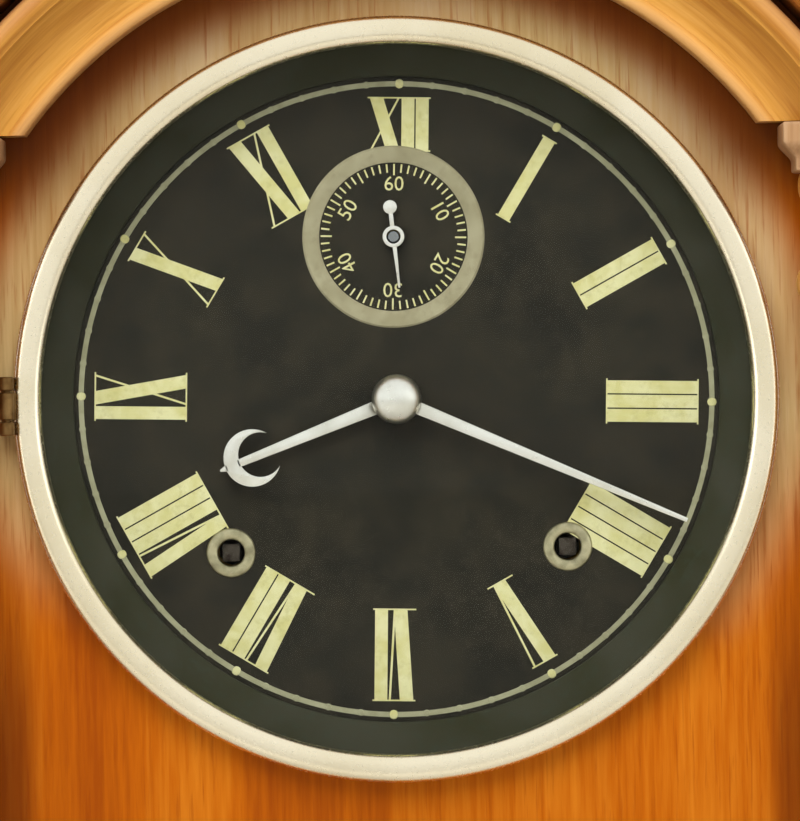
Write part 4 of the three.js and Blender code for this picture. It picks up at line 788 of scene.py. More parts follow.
class Finishes:
    """Every finish on the clock, made once."""

    def __init__(self) -> None:
        """Makes the materials."""
        self.make_woods()
        self.make_metals()
        self.make_paints()
        # Blown glass: clear, with a faint ripple that bends the dial's edge.
        self.glass = WindowGlass("blown window glass", "#fbfdfa").material()

    def make_woods(self) -> None:
        """Makes the oak and pine, each sawn, planed and shellacked or left bare."""
        orange = ("#9a4606", "#b85e09", "#ca7418")
        golden = ("#b3742c", "#cf9440", "#dfa754")
        pale = "#eec690"
        dial = node_middle("time_dial")
        # Orange shellac on planed oak: faint upright streaks, a painted tan sheen round the upper dial,
        # painted shadow under the arch and painted shadow of the columns beside them lower down.
        self.panel = VarnishedWood(
            "shellacked oak panel", *orange, soil=Soil(), bleach=Bleach(dial), soot=Soot(dial)
        ).material()
        # The same on the side boards: upright streaks, and edges rubbed pale by hands.
        self.side = VarnishedWood("shellacked oak board", *orange, edge_wear=0.4).material()
        # The same on the base: the streaks lie level and turn at the mitres.
        self.base = VarnishedWood(
            "shellacked oak base", *orange, grain=Grain.ACROSS, edge_wear=0.45
        ).material()
        # Steamed and bent oak: the streaks follow the curve, and its nose is paler along its edges, rubbed
        # and with a painted highlight.
        self.roof = VarnishedWood(
            "bent shellacked oak", "#8a4a16", "#b87530", "#d29a55", "#e2b68c", Grain.BENT, edge_wear=0.5
        ).material()
        # Run moulding under golden varnish: bright and smooth, with a painted pale pinkish highlight on its
        # bead and its roll.
        self.arch = VarnishedWood(
            "golden oak moulding",
            *golden,
            grain=Grain.BENT,
            figure_mm=14.0,
            patch_share=0.15,
            roughness=0.34,
            gloss=0.25,
            rub=Rub("#edc093", inner_mm=91.0, outer_mm=108.6),
        ).material()
        # The same varnish on the base moulding: level streaks, and pale lines along its edges.
        self.base_moulding = VarnishedWood(
            "golden oak base moulding",
            *golden,
            pale,
            Grain.ACROSS,
            roughness=0.36,
            gloss=0.2,
            edge_wear=0.5,
        ).material()
        # Turned on a lathe: close streaks up the shaft and polished rings.
        self.column = VarnishedWood(
            "golden oak turning",
            *golden,
            pale,
            figure_mm=9.0,
            roughness=0.34,
            gloss=0.25,
            edge_wear=0.35,
        ).material()
        # The capitals are greyed and dull, and painted pale to lift the shade that the arch's end throws on
        # them.
        self.capital = VarnishedWood(
            "greyed oak capital",
            "#936f50",
            "#b58b62",
            "#c9a37c",
            "#d6b491",
            roughness=0.55,
            gloss=0.0,
            edge_wear=0.4,
        ).material()
        # Bare sawn pine: pale, dry and without gloss.
        self.pine = VarnishedWood(
            "bare pine", "#a67c45", "#c49d64", "#d8b883", figure_mm=30.0, roughness=0.7, gloss=0.0
        ).material()

    def make_metals(self) -> None:
        """Makes the spun, rolled and turned metals."""
        # Spun and polished nickel plate, yellowed: creamy, with a soft mirror.
        self.bezel = WornMetal(
            "yellowed nickel plate",
            "#f3e9cc",
            "#e9ddbb",
            roughness=0.26,
            cloud_mm=25.0,
            mark_relief=0.003,
            mark_spread=0.04,
        ).material()
        # Stamped steel under nickel: whiter than the bezel, with dull clouds.
        self.hand = WornMetal(
            "nickelled steel", "#f5f3ed", "#e0ddd3", roughness=0.3, cloud_mm=8.0
        ).material()
        # Rolled clock brass: yellow, with brown tarnish.
        self.brass = WornMetal("clock brass", "#d9b25e", "#a9803a", roughness=0.32).material()
        # The hinges have browned until they sink into the wood.
        self.browned = WornMetal(
            "browned brass", "#8f7146", "#6b4f2c", roughness=0.55, cloud_mm=3.0
        ).material()
        # Pressed eyelets, gone grey-green.
        self.eyelet = WornMetal(
            "tarnished brass", "#c6be9c", "#938c70", roughness=0.42, cloud_mm=3.0
        ).material()
        # Turned and drawn steel: grey, with a soft shine.
        self.steel = WornMetal("drawn grey steel", "#a9abad", "#6f7378", roughness=0.34).material()
        # Wood screws: dark and a little rusty.
        self.iron = WornMetal(
            "rusted screw iron", "#5f5850", "#3a302a", roughness=0.5, cloud_mm=2.0
        ).material()

    def make_paints(self) -> None:
        """Makes the japan, the gilt, the silvering, the ink and the paper."""
        # Stoved black japan: warm black with brown clouds and a weak sheen.
        self.dial = AgedPaint(
            "black dial japan", "#2a2823", "#36322a", "#454138", roughness=0.5, cloud_mm=9.0, specular=0.06
        ).material()
        # The same japan on the sight ring, glossier and a touch greener: the green is a painted reflection
        # of the glass.
        self.sight = AgedPaint(
            "black japanned ring",
            "#363626",
            "#434237",
            "#49554d",
            roughness=0.36,
            cloud_mm=16.0,
            specular=0.1,
        ).material()
        # Brushed gilt paint: pale yellow, rubbed thin in places.
        self.gilt = AgedPaint(
            "gilt numeral paint", "#d5ce90", "#e4dfb0", "#ada46a", roughness=0.5, cloud_mm=4.0
        ).material()
        # Thin gilt on the minute track is worn to a dull line.
        self.thin_gilt = AgedPaint(
            "worn gilt paint", "#a09d80", "#b2af92", "#7a765c", roughness=0.55, cloud_mm=4.0
        ).material()
        # Chemically silvered brass, matt and stained.
        self.silvered = AgedPaint(
            "silvered brass", "#9c9478", "#aea68b", "#776f57", roughness=0.42, cloud_mm=5.0
        ).material()
        # Printer's ink and rag paper on the calendar drums: flat black on foxed cream.
        self.ink = AgedPaint("black ink", "#1d1b18", "#2c2924", "#3d3932", roughness=0.6).material()
        self.paper = AgedPaint("foxed drum paper", "#e4d8b8", "#efe6cc", "#b9a67c", roughness=0.8).material()


# Meshes


def arc(centre: Point, radius: float, start: float, end: float, steps: int) -> list[Point]:
    """Points along a circular arc, at angles in degrees counter-clockwise from the first axis."""
    angles = [math.radians(start + (end - start) * step / steps) for step in range(steps + 1)]
    return [(centre[0] + radius * math.cos(a), centre[1] + radius * math.sin(a)) for a in angles]


def turned(profile: Sequence[Point], axis: Axis, centre: Sequence[float], steps: int) -> Mesh:
    """Spins a closed profile once round an axis.

    Args:
        profile: Radius and place along the axis for each point.
        axis: The axis that it spins about.
        centre: A point on the axis, where the places along it count from.
        steps: Faces round the piece.

    Returns:
        The closed mesh.
    """
    mesh = bmesh.new()
    along = Vector(axis.value)
    out = Vector(Axis.ACROSS.value) if axis is not Axis.ACROSS else Vector(Axis.UPRIGHT.value)
    middle = Vector(centre)
    corners = [mesh.verts.new(middle + out * radius + along * place) for radius, place in profile]
    for first, second in zip(corners, corners[1:] + corners[:1]):
        mesh.edges.new((first, second))
    bmesh.ops.spin(
        mesh,
        geom=mesh.verts[:] + mesh.edges[:],
        cent=middle,
        axis=along,
        angle=math.tau,
        steps=steps,
        use_merge=True,
    )
    return closed(mesh)


def closed(mesh: Mesh) -> Mesh:
    """Merges doubled points, drops bare edges and turns every face outwards.

    Args:
        mesh: The mesh to close.

    Returns:
        The same mesh.
    """
    bmesh.ops.remove_doubles(mesh, verts=mesh.verts[:], dist=MERGE_MM)
    bmesh.ops.dissolve_degenerate(mesh, edges=mesh.edges[:], dist=MERGE_MM)
    bmesh.ops.delete(mesh, geom=[edge for edge in mesh.edges if edge.is_wire], context="EDGES")
    bmesh.ops.recalc_face_normals(mesh, faces=mesh.faces[:])
    return mesh


def upright_plate(outline: Sequence[Point], front: float, back: float) -> Mesh:
    """Extrudes an outline that faces the reader.

    Args:
        outline: Points as x and z.
        front: The depth of its front face.
        back: The depth of its back face.

    Returns:
        The closed mesh.
    """
    mesh = bmesh.new()
    face = mesh.faces.new([mesh.verts.new((x, front, z)) for x, z in outline])
    grown = bmesh.ops.extrude_face_region(mesh, geom=[face])["geom"]
    moved = [item for item in grown if isinstance(item, bmesh.types.BMVert)]
    bmesh.ops.translate(mesh, verts=moved, vec=(0, back - front, 0))
    return closed(mesh)


def stacked(levels: Sequence[tuple[float, float, float]], centre: Point) -> Mesh:
    """Grows a mitred block from rectangle to rectangle.

    Args:
        levels: Half width, half depth and height of each rectangle, from the bottom.
        centre: The block's centre as x and y.

    Returns:
        The closed mesh.
    """
    mesh = bmesh.new()
    wide, deep, height = levels[0]
    corners = [(-wide, -deep), (wide, -deep), (wide, deep), (-wide, deep)]
    bottom = mesh.faces.new([mesh.verts.new((centre[0] + x, centre[1] + y, height)) for x, y in corners])
    middle = Vector((*centre, 0))
    top = bottom
    for next_wide, next_deep, next_height in levels[1:]:
        grown = bmesh.ops.extrude_face_region(mesh, geom=[top])["geom"]
        # The face that was extruded stays behind, so all but the bottom one are taken out again.
        if top is not bottom:
            bmesh.ops.delete(mesh, geom=[top], context="FACES_ONLY")
        top = next(item for item in grown if isinstance(item, bmesh.types.BMFace))
        for corner in top.verts:
            offset = corner.co - middle
            side = (math.copysign(next_wide, offset.x), math.copysign(next_deep, offset.y), next_height)
            corner.co = middle + Vector(side)
    return closed(mesh)


def block(low: Sequence[float], high: Sequence[float]) -> Mesh:
    """Makes a squared block between two corners.

    Args:
        low: The lowest corner.
        high: The highest corner.

    Returns:
        The closed mesh.
    """
    mesh = bmesh.new()
    size = Vector(high) - Vector(low)
    middle = (Vector(high) + Vector(low)) / 2
    bmesh.ops.create_cube(mesh, size=1.0)
    bmesh.ops.scale(mesh, vec=size, verts=mesh.verts[:])
    bmesh.ops.translate(mesh, vec=middle, verts=mesh.verts[:])
    return mesh


def soften(mesh: Mesh, width: float, angle: float = EDGE_ANGLE) -> Mesh:
    """Rounds every edge that turns more than an angle.

    Args:
        mesh: The mesh to soften.
        width: How far the rounding reaches on each face.
        angle: The least turn in degrees.

    Returns:
        The same mesh.
    """
    least = math.radians(angle)
    sharp = [edge for edge in mesh.edges if edge.is_manifold and edge.calc_face_angle(0.0) > least]
    bmesh.ops.bevel(
        mesh,
        geom=sharp,
        offset=width,
        offset_type="OFFSET",
        segments=EDGE_SEGMENTS,
        profile=0.5,
        affect="EDGES",
        material=-1,
        clamp_overlap=True,
    )
    return mesh


def beyond(mesh: Mesh, place: Sequence[float], direction: Sequence[float]) -> Mesh:
    """Keeps what lies beyond a plane and closes the cut.

    Args:
        mesh: The mesh to cut.
        place: A point on the plane.
        direction: The side that is kept.

    Returns:
        The same mesh.
    """
    everything = mesh.verts[:] + mesh.edges[:] + mesh.faces[:]
    bmesh.ops.bisect_plane(mesh, geom=everything, plane_co=place, plane_no=direction, clear_inner=True)
    bmesh.ops.holes_fill(mesh, edges=[edge for edge in mesh.edges if edge.is_boundary])
    return closed(mesh)


def placed(mesh: Mesh, move: Matrix) -> Mesh:
    """Moves a whole mesh and gives it back."""
    bmesh.ops.transform(mesh, matrix=move, verts=mesh.verts[:])
    return mesh


def joined(parts: Sequence[Mesh]) -> Mesh:
    """Puts several meshes in one.

    Args:
        parts: The meshes, which are freed.

    Returns:
        The mesh that holds them all.
    """
    whole = bmesh.new()
    for part in parts:
        carrier = bpy.data.meshes.new("carrier")
        part.to_mesh(carrier)
        part.free()
        whole.from_mesh(carrier)
        bpy.data.meshes.remove(carrier)
    return whole


def figures(text: str, height: float, thickness: float) -> Mesh:
    """Makes thin figures in the x and z plane, centred on the origin and facing the reader.

    Args:
        text: The number to write.
        height: How tall its figures stand.
        thickness: How thick the paint or ink lies.

    Returns:
        The closed mesh, with its back at depth zero.
    """
    curve = bpy.data.curves.new("figures", "FONT")
    curve.body = text
    curve.align_x = "CENTER"
    curve.align_y = "CENTER"
    curve.resolution_u = FIGURE_ROUNDNESS
    # Half a unit each way makes them one unit thick, which is then scaled.
    curve.extrude = 1 / 2
    carrier = bpy.data.objects.new("figures", curve)
    solid = bpy.data.meshes.new_from_object(carrier)
    mesh = bmesh.new()
    mesh.from_mesh(solid)
    bpy.data.objects.remove(carrier)
    bpy.data.curves.remove(curve)
    bpy.data.meshes.remove(solid)
    tall = max(v.co.y for v in mesh.verts) - min(v.co.y for v in mesh.verts)
    size = height / tall
    shrink = Matrix.Diagonal((size, size, thickness, 1.0))
    stand = Matrix.Translation((0, -thickness / 2, 0)) @ Matrix.Rotation(math.pi / 2, 4, "X") @ shrink
    return closed(placed(mesh, stand))


@dataclass(frozen=True)
class SlottedScrew:
    """A domed screw head with a slot, about the origin and facing +Y."""

    radius: float = 3.2
    rise: float = 1.3
    slot: float = 0.9
    bed_share: float = 0.35
    bed_rim: float = 0.98
    bed_crown: float = 0.9
    dome_steps: int = 8
    round_steps: int = 28

    def build(self, turn: float) -> Mesh:
        """Makes the slot's bed and a half dome on each side of it.

        Args:
            turn: The slot's angle in degrees.

        Returns:
            The closed mesh.
        """
        floor = self.bed_share * self.rise
        seat = [(0.0, -floor), (self.radius, -floor)]
        crown = [(self.bed_rim * self.radius, 0.0), (self.bed_crown * self.radius, floor), (0.0, floor)]
        angles = [math.pi / 2 * step / self.dome_steps for step in range(self.dome_steps + 1)]
        dome = [(self.radius * math.cos(angle), self.rise * math.sin(angle)) for angle in angles]
        parts = [turned([*seat, *crown], Axis.DEPTH, (0, 0, 0), self.round_steps)]
        for side in Side:
            head = turned([*seat, *dome], Axis.DEPTH, (0, 0, 0), self.round_steps)
            parts.append(beyond(head, (side.value * self.slot / 2, 0, 0), (side.value, 0, 0)))
        return placed(joined(parts), Matrix.Rotation(math.radians(turn), 4, "Y"))


def painted_ring(radius: float, width: float, paint: float, centre: Sequence[float], steps: int) -> Mesh:
    """Lays a flat ring of paint on a dial, with its radius in the middle of its width."""
    inner, outer = radius - width / 2, radius + width / 2
    return turned([(inner, 0), (inner, -paint), (outer, -paint), (outer, 0)], Axis.DEPTH, centre, steps)


def dial_place(centre: Point, radius: float, clockwise: float, depth: float) -> Matrix:
    """Takes a mark from the origin to its place on a dial, in degrees from twelve, foot to the centre."""
    turn = Matrix.Rotation(math.radians(clockwise), 4, "Y")
    return Matrix.Translation((centre[0], depth, centre[1])) @ turn @ Matrix.Translation((0, 0, radius))


@dataclass(frozen=True)
class Rider:
    """Where a finished piece belongs: its body, its material slot and the nodes it stands for."""

    body: str
    slot: Slot
    nodes: tuple[str, ...] = ()


def finish_piece(name: str, mesh: Mesh, material: Material, rider: Rider) -> bpy.types.Object:
    """Turns a mesh in millimetres into a piece of the clock.

    Args:
        name: The piece's name.
        mesh: Its mesh, which is freed.
        material: Its finish.
        rider: What it rides on and stands for.

    Returns:
        The new object.
    """
    bmesh.ops.scale(mesh, vec=(MM, MM, MM), verts=mesh.verts[:])
    data = bpy.data.meshes.new(name)
    mesh.to_mesh(data)
    mesh.free()
    data.shade_smooth()
    data.set_sharp_from_angle(angle=SMOOTH_ANGLE)
    data.materials.append(material)
    piece = bpy.data.objects.new(name, data)
    bpy.context.scene.collection.objects.link(piece)
    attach(piece, rider.body)
    if rider.nodes:
        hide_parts(*rider.nodes)
    LOG.info("%s: %d faces on %s", name, len(data.polygons), rider.body)
    return piece


def lay_grain(piece: bpy.types.Object, centre: Point) -> None:
    """Writes a grain attribute that runs round a bent piece.

    Args:
        piece: The bent piece, in metres.
        centre: The bend's centre as x and z in millimetres.
    """
    data = piece.data
    grain = data.attributes.new(GRAIN_ATTRIBUTE, "FLOAT_VECTOR", "POINT")
    for corner in data.vertices:
        x = corner.co.x - centre[0] * MM
        z = corner.co.z - centre[1] * MM
        grain.data[corner.index].vector = (math.hypot(x, z), corner.co.y, math.atan2(x, z) * GRAIN_RADIUS)


def node_box(name: str) -> tuple[Vector, Vector]:
    """A node's lowest and highest corners in millimetres."""
    low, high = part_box(name)
    return Vector(low) / MM, Vector(high) / MM


def node_middle(name: str) -> Point:
    """The middle of a node as x and z in millimetres."""
    low, high = node_box(name)
    return (low.x + high.x) / 2, (low.z + high.z) / 2


def dress(nodes: Sequence[str], material: Material) -> None:
    """Gives carried-over nodes a finish.

    Args:
        nodes: The nodes' names.
        material: What they are made of.
    """
    for name in nodes:
        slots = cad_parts[name].data.materials
        slots.clear()
        slots.append(material)
        LOG.info("%s: dressed in %s", name, material.name)


# Case


@dataclass
class Case:
    """The wooden case: base, boards, bent roof, arch moulding and columns."""

    finishes: Finishes
    edge: float = 0.9
    step_angle: float = 20.0
    curve_angle: float = 60.0
    seat: float = 0.3
    plinth_step: float = 2.5
    plinth_chamfer: float = 4.0
    moulding_fillet: float = 3.0
    moulding_foot: float = 9.5
    moulding_lip: float = 1.5
    arch_width: float = 17.6
    arch_bead: float = 3.0
    arch_bead_end: float = 330.0
    arch_bead_sink: float = 0.5
    arch_roll: float = 5.0
    arch_roll_start: float = 215.0
    arch_roll_sink: float = 1.25
    arch_hollow: float = 9.0
    roof_nose: float = 2.4
    column_radius: float = 6.0
    column_ring: float = 7.4
    column_ring_height: float = 6.0
    column_ring_drop: float = 22.0
    column_foot: float = 5.0
    column_bead: float = 7.0
    column_neck: float = 5.0
    column_ease: float = 0.5
    capital_inset: float = 2.5
    capital_neck: float = 2.0
    capital_bell: float = 4.0
    screw: SlottedScrew = SlottedScrew()
    screw_inset: float = 4.0
    screw_turn: float = 57.0
    screws_a_side: int = 4
    curve_steps: int = 12
    round_steps: int = 160
    column_steps: int = 56

    def build(self) -> None:
        """Builds every wooden piece and dresses the boards that stay."""
        dress(["front_panel"], self.finishes.panel)
        dress(["back_board"], self.finishes.pine)
        self.build_base()
        self.build_moulding()
        self.build_sides()
        self.build_roof()
        self.build_arch()
        for side in Side:
            self.build_column(side)
            self.build_capital(side)
        self.build_screws()

    def build_base(self) -> None:
        """Builds the plinth with its chamfered step."""
        low, high = node_box("base_plinth")
        half = (high - low) / 2
        step = self.plinth_step
        chamfer = self.plinth_chamfer
        levels = [
            (half.x, half.y, low.z),
            (half.x, half.y, high.z - 2 * chamfer),
            (half.x - step, half.y - step, high.z - chamfer),
            (half.x - step, half.y - step, high.z),
        ]
        mesh = soften(stacked(levels, (0, 0)), self.edge, self.step_angle)
        finish_piece("plinth", mesh, self.finishes.base, Rider("case", Slot.CASE_WOOD, ("base_plinth",)))

    def build_moulding(self) -> None:
        """Builds the hollow moulding that climbs from the plinth to the case."""
        low, high = node_box("base_moulding")
        half = (high - low) / 2
        fillet = self.moulding_fillet
        climb = high.z - low.z - 2 * fillet
        levels = [(half.x, half.y, low.z), (half.x, half.y, low.z + fillet)]
        for step in range(1, self.curve_steps + 1):
            angle = math.pi / 2 * step / self.curve_steps
            inset = self.moulding_foot * math.sin(angle)
            rise = climb * (1 - math.cos(angle))
            levels.append((half.x - inset, half.y - inset, low.z + fillet + rise))
        lip = self.moulding_foot - self.moulding_lip
        levels += [(half.x - lip, half.y - lip, high.z - fillet), (half.x - lip, half.y - lip, high.z)]
        mesh = soften(stacked(levels, (0, 0)), self.edge / 2, self.curve_angle)
        rider = Rider("case", Slot.GOLDEN_WOOD, ("base_moulding",))
        finish_piece("hollow_moulding", mesh, self.finishes.base_moulding, rider)

    def build_sides(self) -> None:
        """Builds the two side boards with eased edges."""
        for side in Side:
            node = f"{side.word}_side_board"
            mesh = soften(block(*node_box(node)), self.edge)
            rider = Rider("case", Slot.CASE_WOOD, (node,))
            finish_piece(f"{side.word}_side", mesh, self.finishes.side, rider)

    def bent(self, profile: Sequence[Point], springing: float) -> Mesh:
        """Spins a profile about the time dial's axis and keeps what stands above the springing.

        Args:
            profile: Radius and depth of each point.
            springing: The height where the bend ends.

        Returns:
            The closed mesh.
        """
        x, z = node_middle("time_dial")
        ring = turned(profile, Axis.DEPTH, (x, 0, z), self.round_steps)
        return beyond(ring, (0, 0, springing), Axis.UPRIGHT.value)

    def build_roof(self) -> None:
        """Builds the bent roof with a rounded nose at its front and back."""
        low, high = node_box("roof_arch")
        centre = node_middle("time_dial")
        outer = high.z - centre[1]
        inner = node_box("front_panel")[1].z - centre[1] + self.seat
        nose = self.roof_nose
        profile = [
            *arc((inner + nose, low.y + nose), nose, 180, 270, self.curve_steps),
            *arc((outer - nose, low.y + nose), nose, 270, 360, self.curve_steps),
            *arc((outer - nose, high.y - nose), nose, 0, 90, self.curve_steps),
            *arc((inner + nose, high.y - nose), nose, 90, 180, self.curve_steps),
        ]
        rider = Rider("case", Slot.CASE_WOOD, ("roof_arch",))
        piece = finish_piece("bent_roof", self.bent(profile, low.z), self.finishes.roof, rider)
        lay_grain(piece, centre)

    def build_arch(self) -> None:
        """Builds the arch moulding: an inner bead, a hollow and an outer roll."""
        low, high = node_box("arch_moulding")
        centre = node_middle("time_dial")
        outer = high.z - centre[1]
        inner = outer - self.arch_width
        bead = self.arch_bead / 2
        roll = self.arch_roll / 2
        bead_depth = low.y + self.arch_hollow + bead
        profile = [(inner, high.y)]
        profile += arc((inner + bead, bead_depth), bead, 180, self.arch_bead_end, self.curve_steps)
        start, deep = inner + self.arch_bead, bead_depth - self.arch_bead_sink
        end, shallow = outer - self.arch_roll, low.y + self.arch_roll_sink
        for step in range(1, self.curve_steps + 1):
            share = step / self.curve_steps
            profile.append((start + (end - start) * share, deep + (shallow - deep) * share**2))
        profile += arc((outer - roll, low.y + roll), roll, self.arch_roll_start, 360, self.curve_steps)
        profile.append((outer, high.y))
        rider = Rider("case", Slot.GOLDEN_WOOD, ("arch_moulding",))
        piece = finish_piece("arch_mould", self.bent(profile, low.z), self.finishes.arch, rider)
        lay_grain(piece, centre)

    def bulge(self, foot: float, height: float, reach: float) -> list[Point]:
        """A rounded ring on the column, from below to above.

        Args:
            foot: Where the ring starts.
            height: How tall it is.
            reach: Its largest radius.

        Returns:
            Radius and height of each point.
        """
        swell = reach - self.column_radius
        angles = [math.pi * step / self.curve_steps for step in range(self.curve_steps + 1)]
        half = height / 2
        return [(self.column_radius + swell * math.sin(a), foot + half - half * math.cos(a)) for a in angles]

    def build_column(self, side: Side) -> None:
        """Builds one turned column.

        Args:
            side: Which column.
        """
        node = f"{side.word}_column"
        low, high = node_box(node)
        middle = (low + high) / 2
        wide = (high.x - low.x) / 2
        ease = self.column_ease
        bead_foot = low.z + self.column_foot
        bead_reach = (self.column_radius + self.column_ring) / 2
        ring = self.column_ring_height
        ring_foot = self.column_ring_drop - ring / 2
        profile = [(0.0, low.z), (wide - ease, low.z), (wide, low.z + ease)]
        profile += [(wide, bead_foot - ease), (wide - ease, bead_foot)]
        profile += self.bulge(bead_foot, self.column_bead, bead_reach)
        profile += self.bulge(low.z + ring_foot, ring, self.column_ring)
        profile += self.bulge(high.z - ring_foot - ring, ring, self.column_ring)
        profile += [*self.bulge(high.z - self.column_neck, self.column_neck, bead_reach), (0.0, high.z)]
        mesh = turned(profile, Axis.UPRIGHT, (middle.x, middle.y, 0), self.column_steps)
        rider = Rider("case", Slot.GOLDEN_WOOD, (node,))
        finish_piece(f"{side.word}_turned_column", mesh, self.finishes.column, rider)

    def build_capital(self, side: Side) -> None:
        """Builds one capital with a swept bell under its slab.

        Args:
            side: Which capital.
        """
        node = f"{side.word}_capital"
        low, high = node_box(node)
        middle = (low + high) / 2
        half = (high - low) / 2
        inset = self.capital_inset
        neck = low.z + self.capital_neck
        levels = [(half.x - inset, half.y - inset, low.z), (half.x - inset, half.y - inset, neck)]
        for step in range(1, self.curve_steps + 1):
            share = step / self.curve_steps
            sweep = inset * math.cos(share * math.pi / 2) ** 2
            levels.append((half.x - sweep, half.y - sweep, neck + self.capital_bell * share))
        levels.append((half.x, half.y, high.z))
        mesh = soften(stacked(levels, (middle.x, middle.y)), self.edge / 2, self.curve_angle)
        rider = Rider("case", Slot.CASE_WOOD, (node,))
        finish_piece(f"{side.word}_swept_capital", mesh, self.finishes.capital, rider)

    def build_screws(self) -> None:
        """Builds the slotted screws that hold the back board to the sides, each turned its own way."""
        low, high = node_box("back_board")
        side_low, side_high = node_box("left_side_board")
        spacing = (side_high.z - side_low.z) / self.screws_a_side
        screws = []
        for x in (low.x + self.screw_inset, high.x - self.screw_inset):
            for number in range(1, self.screws_a_side + 1):
                height = side_low.z + (number - 1 / 2) * spacing
                screw = self.screw.build(self.screw_turn * number + x)
                screws.append(placed(screw, Matrix.Translation((x, high.y, height))))
        finish_piece("back_screws", joined(screws), self.finishes.iron, Rider("case", Slot.STEEL))


# Doors


@dataclass
class Door:
    """One glazed door: rounded bezel, domed glass and hinge, with the sight ring behind it."""

    finishes: Finishes
    name: str
    body: str
    outer: float = 76.8
    inner: float = 71.2
    depth: float = 7.3
    bezel_flatness: float = 3.5
    seat: float = 0.3
    glass_back: float = 1.0
    glass_thickness: float = 1.5
    glass_rise: float = 6.0
    sight: float = 65.2
    sight_bead: float = 0.7
    sight_bead_end: float = 235.0
    pin: float = 0.6
    knuckle_length: float = 5.6
    knuckle_ease: float = 0.3
    hinge_offset: float = 1.1
    hinge_proud: float = 0.8
    hinge_foot: float = 1.0
    hinge_web: float = 2.4
    hinge_root: float = 0.8
    hinge_edge: float = 0.25
    bezel_steps: int = 28
    glass_steps: int = 16
    round_steps: int = 192
    knuckle_steps: int = 24

    def __post_init__(self) -> None:
        """Finds the door's place on the case and its hinge's axis."""
        self.centre = node_middle(f"{self.name}_dial")
        self.back = node_box("front_panel")[0].y - self.seat
        self.front = self.back - self.depth
        self.hinge = (-(self.outer + self.hinge_offset), self.front - self.hinge_proud)
        self.knuckle = self.hinge[0] - node_box(f"{self.name}_hinge")[0].x

    def build(self) -> None:
        """Builds the door's pieces."""
        self.build_bezel()
        self.build_glass()
        self.build_hinge()
        self.build_sight_ring()

    def spun(self, profile: Sequence[Point]) -> Mesh:
        """Spins a profile about the dial's axis."""
        return turned(profile, Axis.DEPTH, (self.centre[0], 0, self.centre[1]), self.round_steps)

    def upright(self, radius: float, low: float, high: float) -> Mesh:
        """Makes a rounded upright barrel on the hinge's axis.

        Args:
            radius: Its radius.
            low: Its foot, from the dial's centre.
            high: Its head, from the dial's centre.

        Returns:
            The closed mesh.
        """
        ease = min(self.knuckle_ease, radius / 3)
        profile = [(0, low), (radius - ease, low), (radius, low + ease)]
        profile += [(radius, high - ease), (radius - ease, high), (0, high)]
        return turned(profile, Axis.UPRIGHT, (*self.hinge, self.centre[1]), self.knuckle_steps)

    def build_bezel(self) -> None:
        """Builds the bezel's ring with its full crown and glass rebate, and the knuckle of its hinge."""
        crown = (self.outer + self.inner) / 2
        half = (self.outer - self.inner) / 2
        lip = self.back - self.glass_back - self.glass_thickness - self.seat
        rebate = crown + self.seat
        power = 2 / self.bezel_flatness
        profile = [(self.outer, self.back)]
        for step in range(self.bezel_steps + 1):
            angle = math.pi * step / self.bezel_steps
            across = math.copysign(abs(math.cos(angle)) ** power, math.cos(angle))
            profile.append((crown + half * across, self.front + half - half * math.sin(angle) ** power))
        profile += [(self.inner, lip), (rebate, lip), (rebate, self.back)]
        rider = Rider(self.body, Slot.BEZEL_NICKEL, (f"{self.name}_bezel",))
        finish_piece(f"{self.name}_ring", self.spun(profile), self.finishes.bezel, rider)
        low = -self.knuckle_length / 2
        web = block(
            (self.hinge[0], self.front + self.seat, self.centre[1] + low),
            (-self.outer + self.hinge_root, self.front + self.hinge_web, self.centre[1] - low),
        )
        parts = [soften(web, self.hinge_edge), self.upright(self.knuckle, low, -low)]
        rider = Rider(self.body, Slot.BRASS)
        finish_piece(f"{self.name}_knuckle", joined(parts), self.finishes.browned, rider)

    def build_glass(self) -> None:
        """Builds the domed glass as a thin shell."""
        rim = (self.outer + self.inner) / 2
        dome = self.inner - self.seat
        back = self.back - self.glass_back
        edge = back - self.glass_thickness
        reaches = [dome * (1 - step / self.glass_steps) for step in range(self.glass_steps + 1)]
        front = [(reach, edge - self.glass_rise * (1 - (reach / dome) ** 2)) for reach in reaches]
        inside = [(reach, depth + self.glass_thickness) for reach, depth in reversed(front)]
        mesh = self.spun([(rim, back), (rim, edge), *front, *inside])
        rider = Rider(self.body, Slot.CLEAR_GLASS, (f"{self.name}_glass",))
        finish_piece(f"{self.name}_dome", mesh, self.finishes.glass, rider)

    def build_hinge(self) -> None:
        """Builds the case's side of the hinge with its pin and foot."""
        gap = self.knuckle_length / 2 + self.seat
        end = gap + self.knuckle_length / 2
        x, y = self.hinge
        height = self.centre[1]
        foot = block(
            (x - self.knuckle, self.back - self.hinge_foot, height - end),
            (x + self.seat, self.back, height + end),
        )
        parts = [soften(foot, self.hinge_edge), self.upright(self.pin, -end, end)]
        for low, high in ((-end, -gap), (gap, end)):
            arm = block((x - self.knuckle, y, height + low), (x + self.seat, self.back, height + high))
            parts += [soften(arm, self.hinge_edge), self.upright(self.knuckle, low, high)]
        rider = Rider("case", Slot.BRASS, (f"{self.name}_hinge",))
        finish_piece(f"{self.name}_hinge_set", joined(parts), self.finishes.browned, rider)

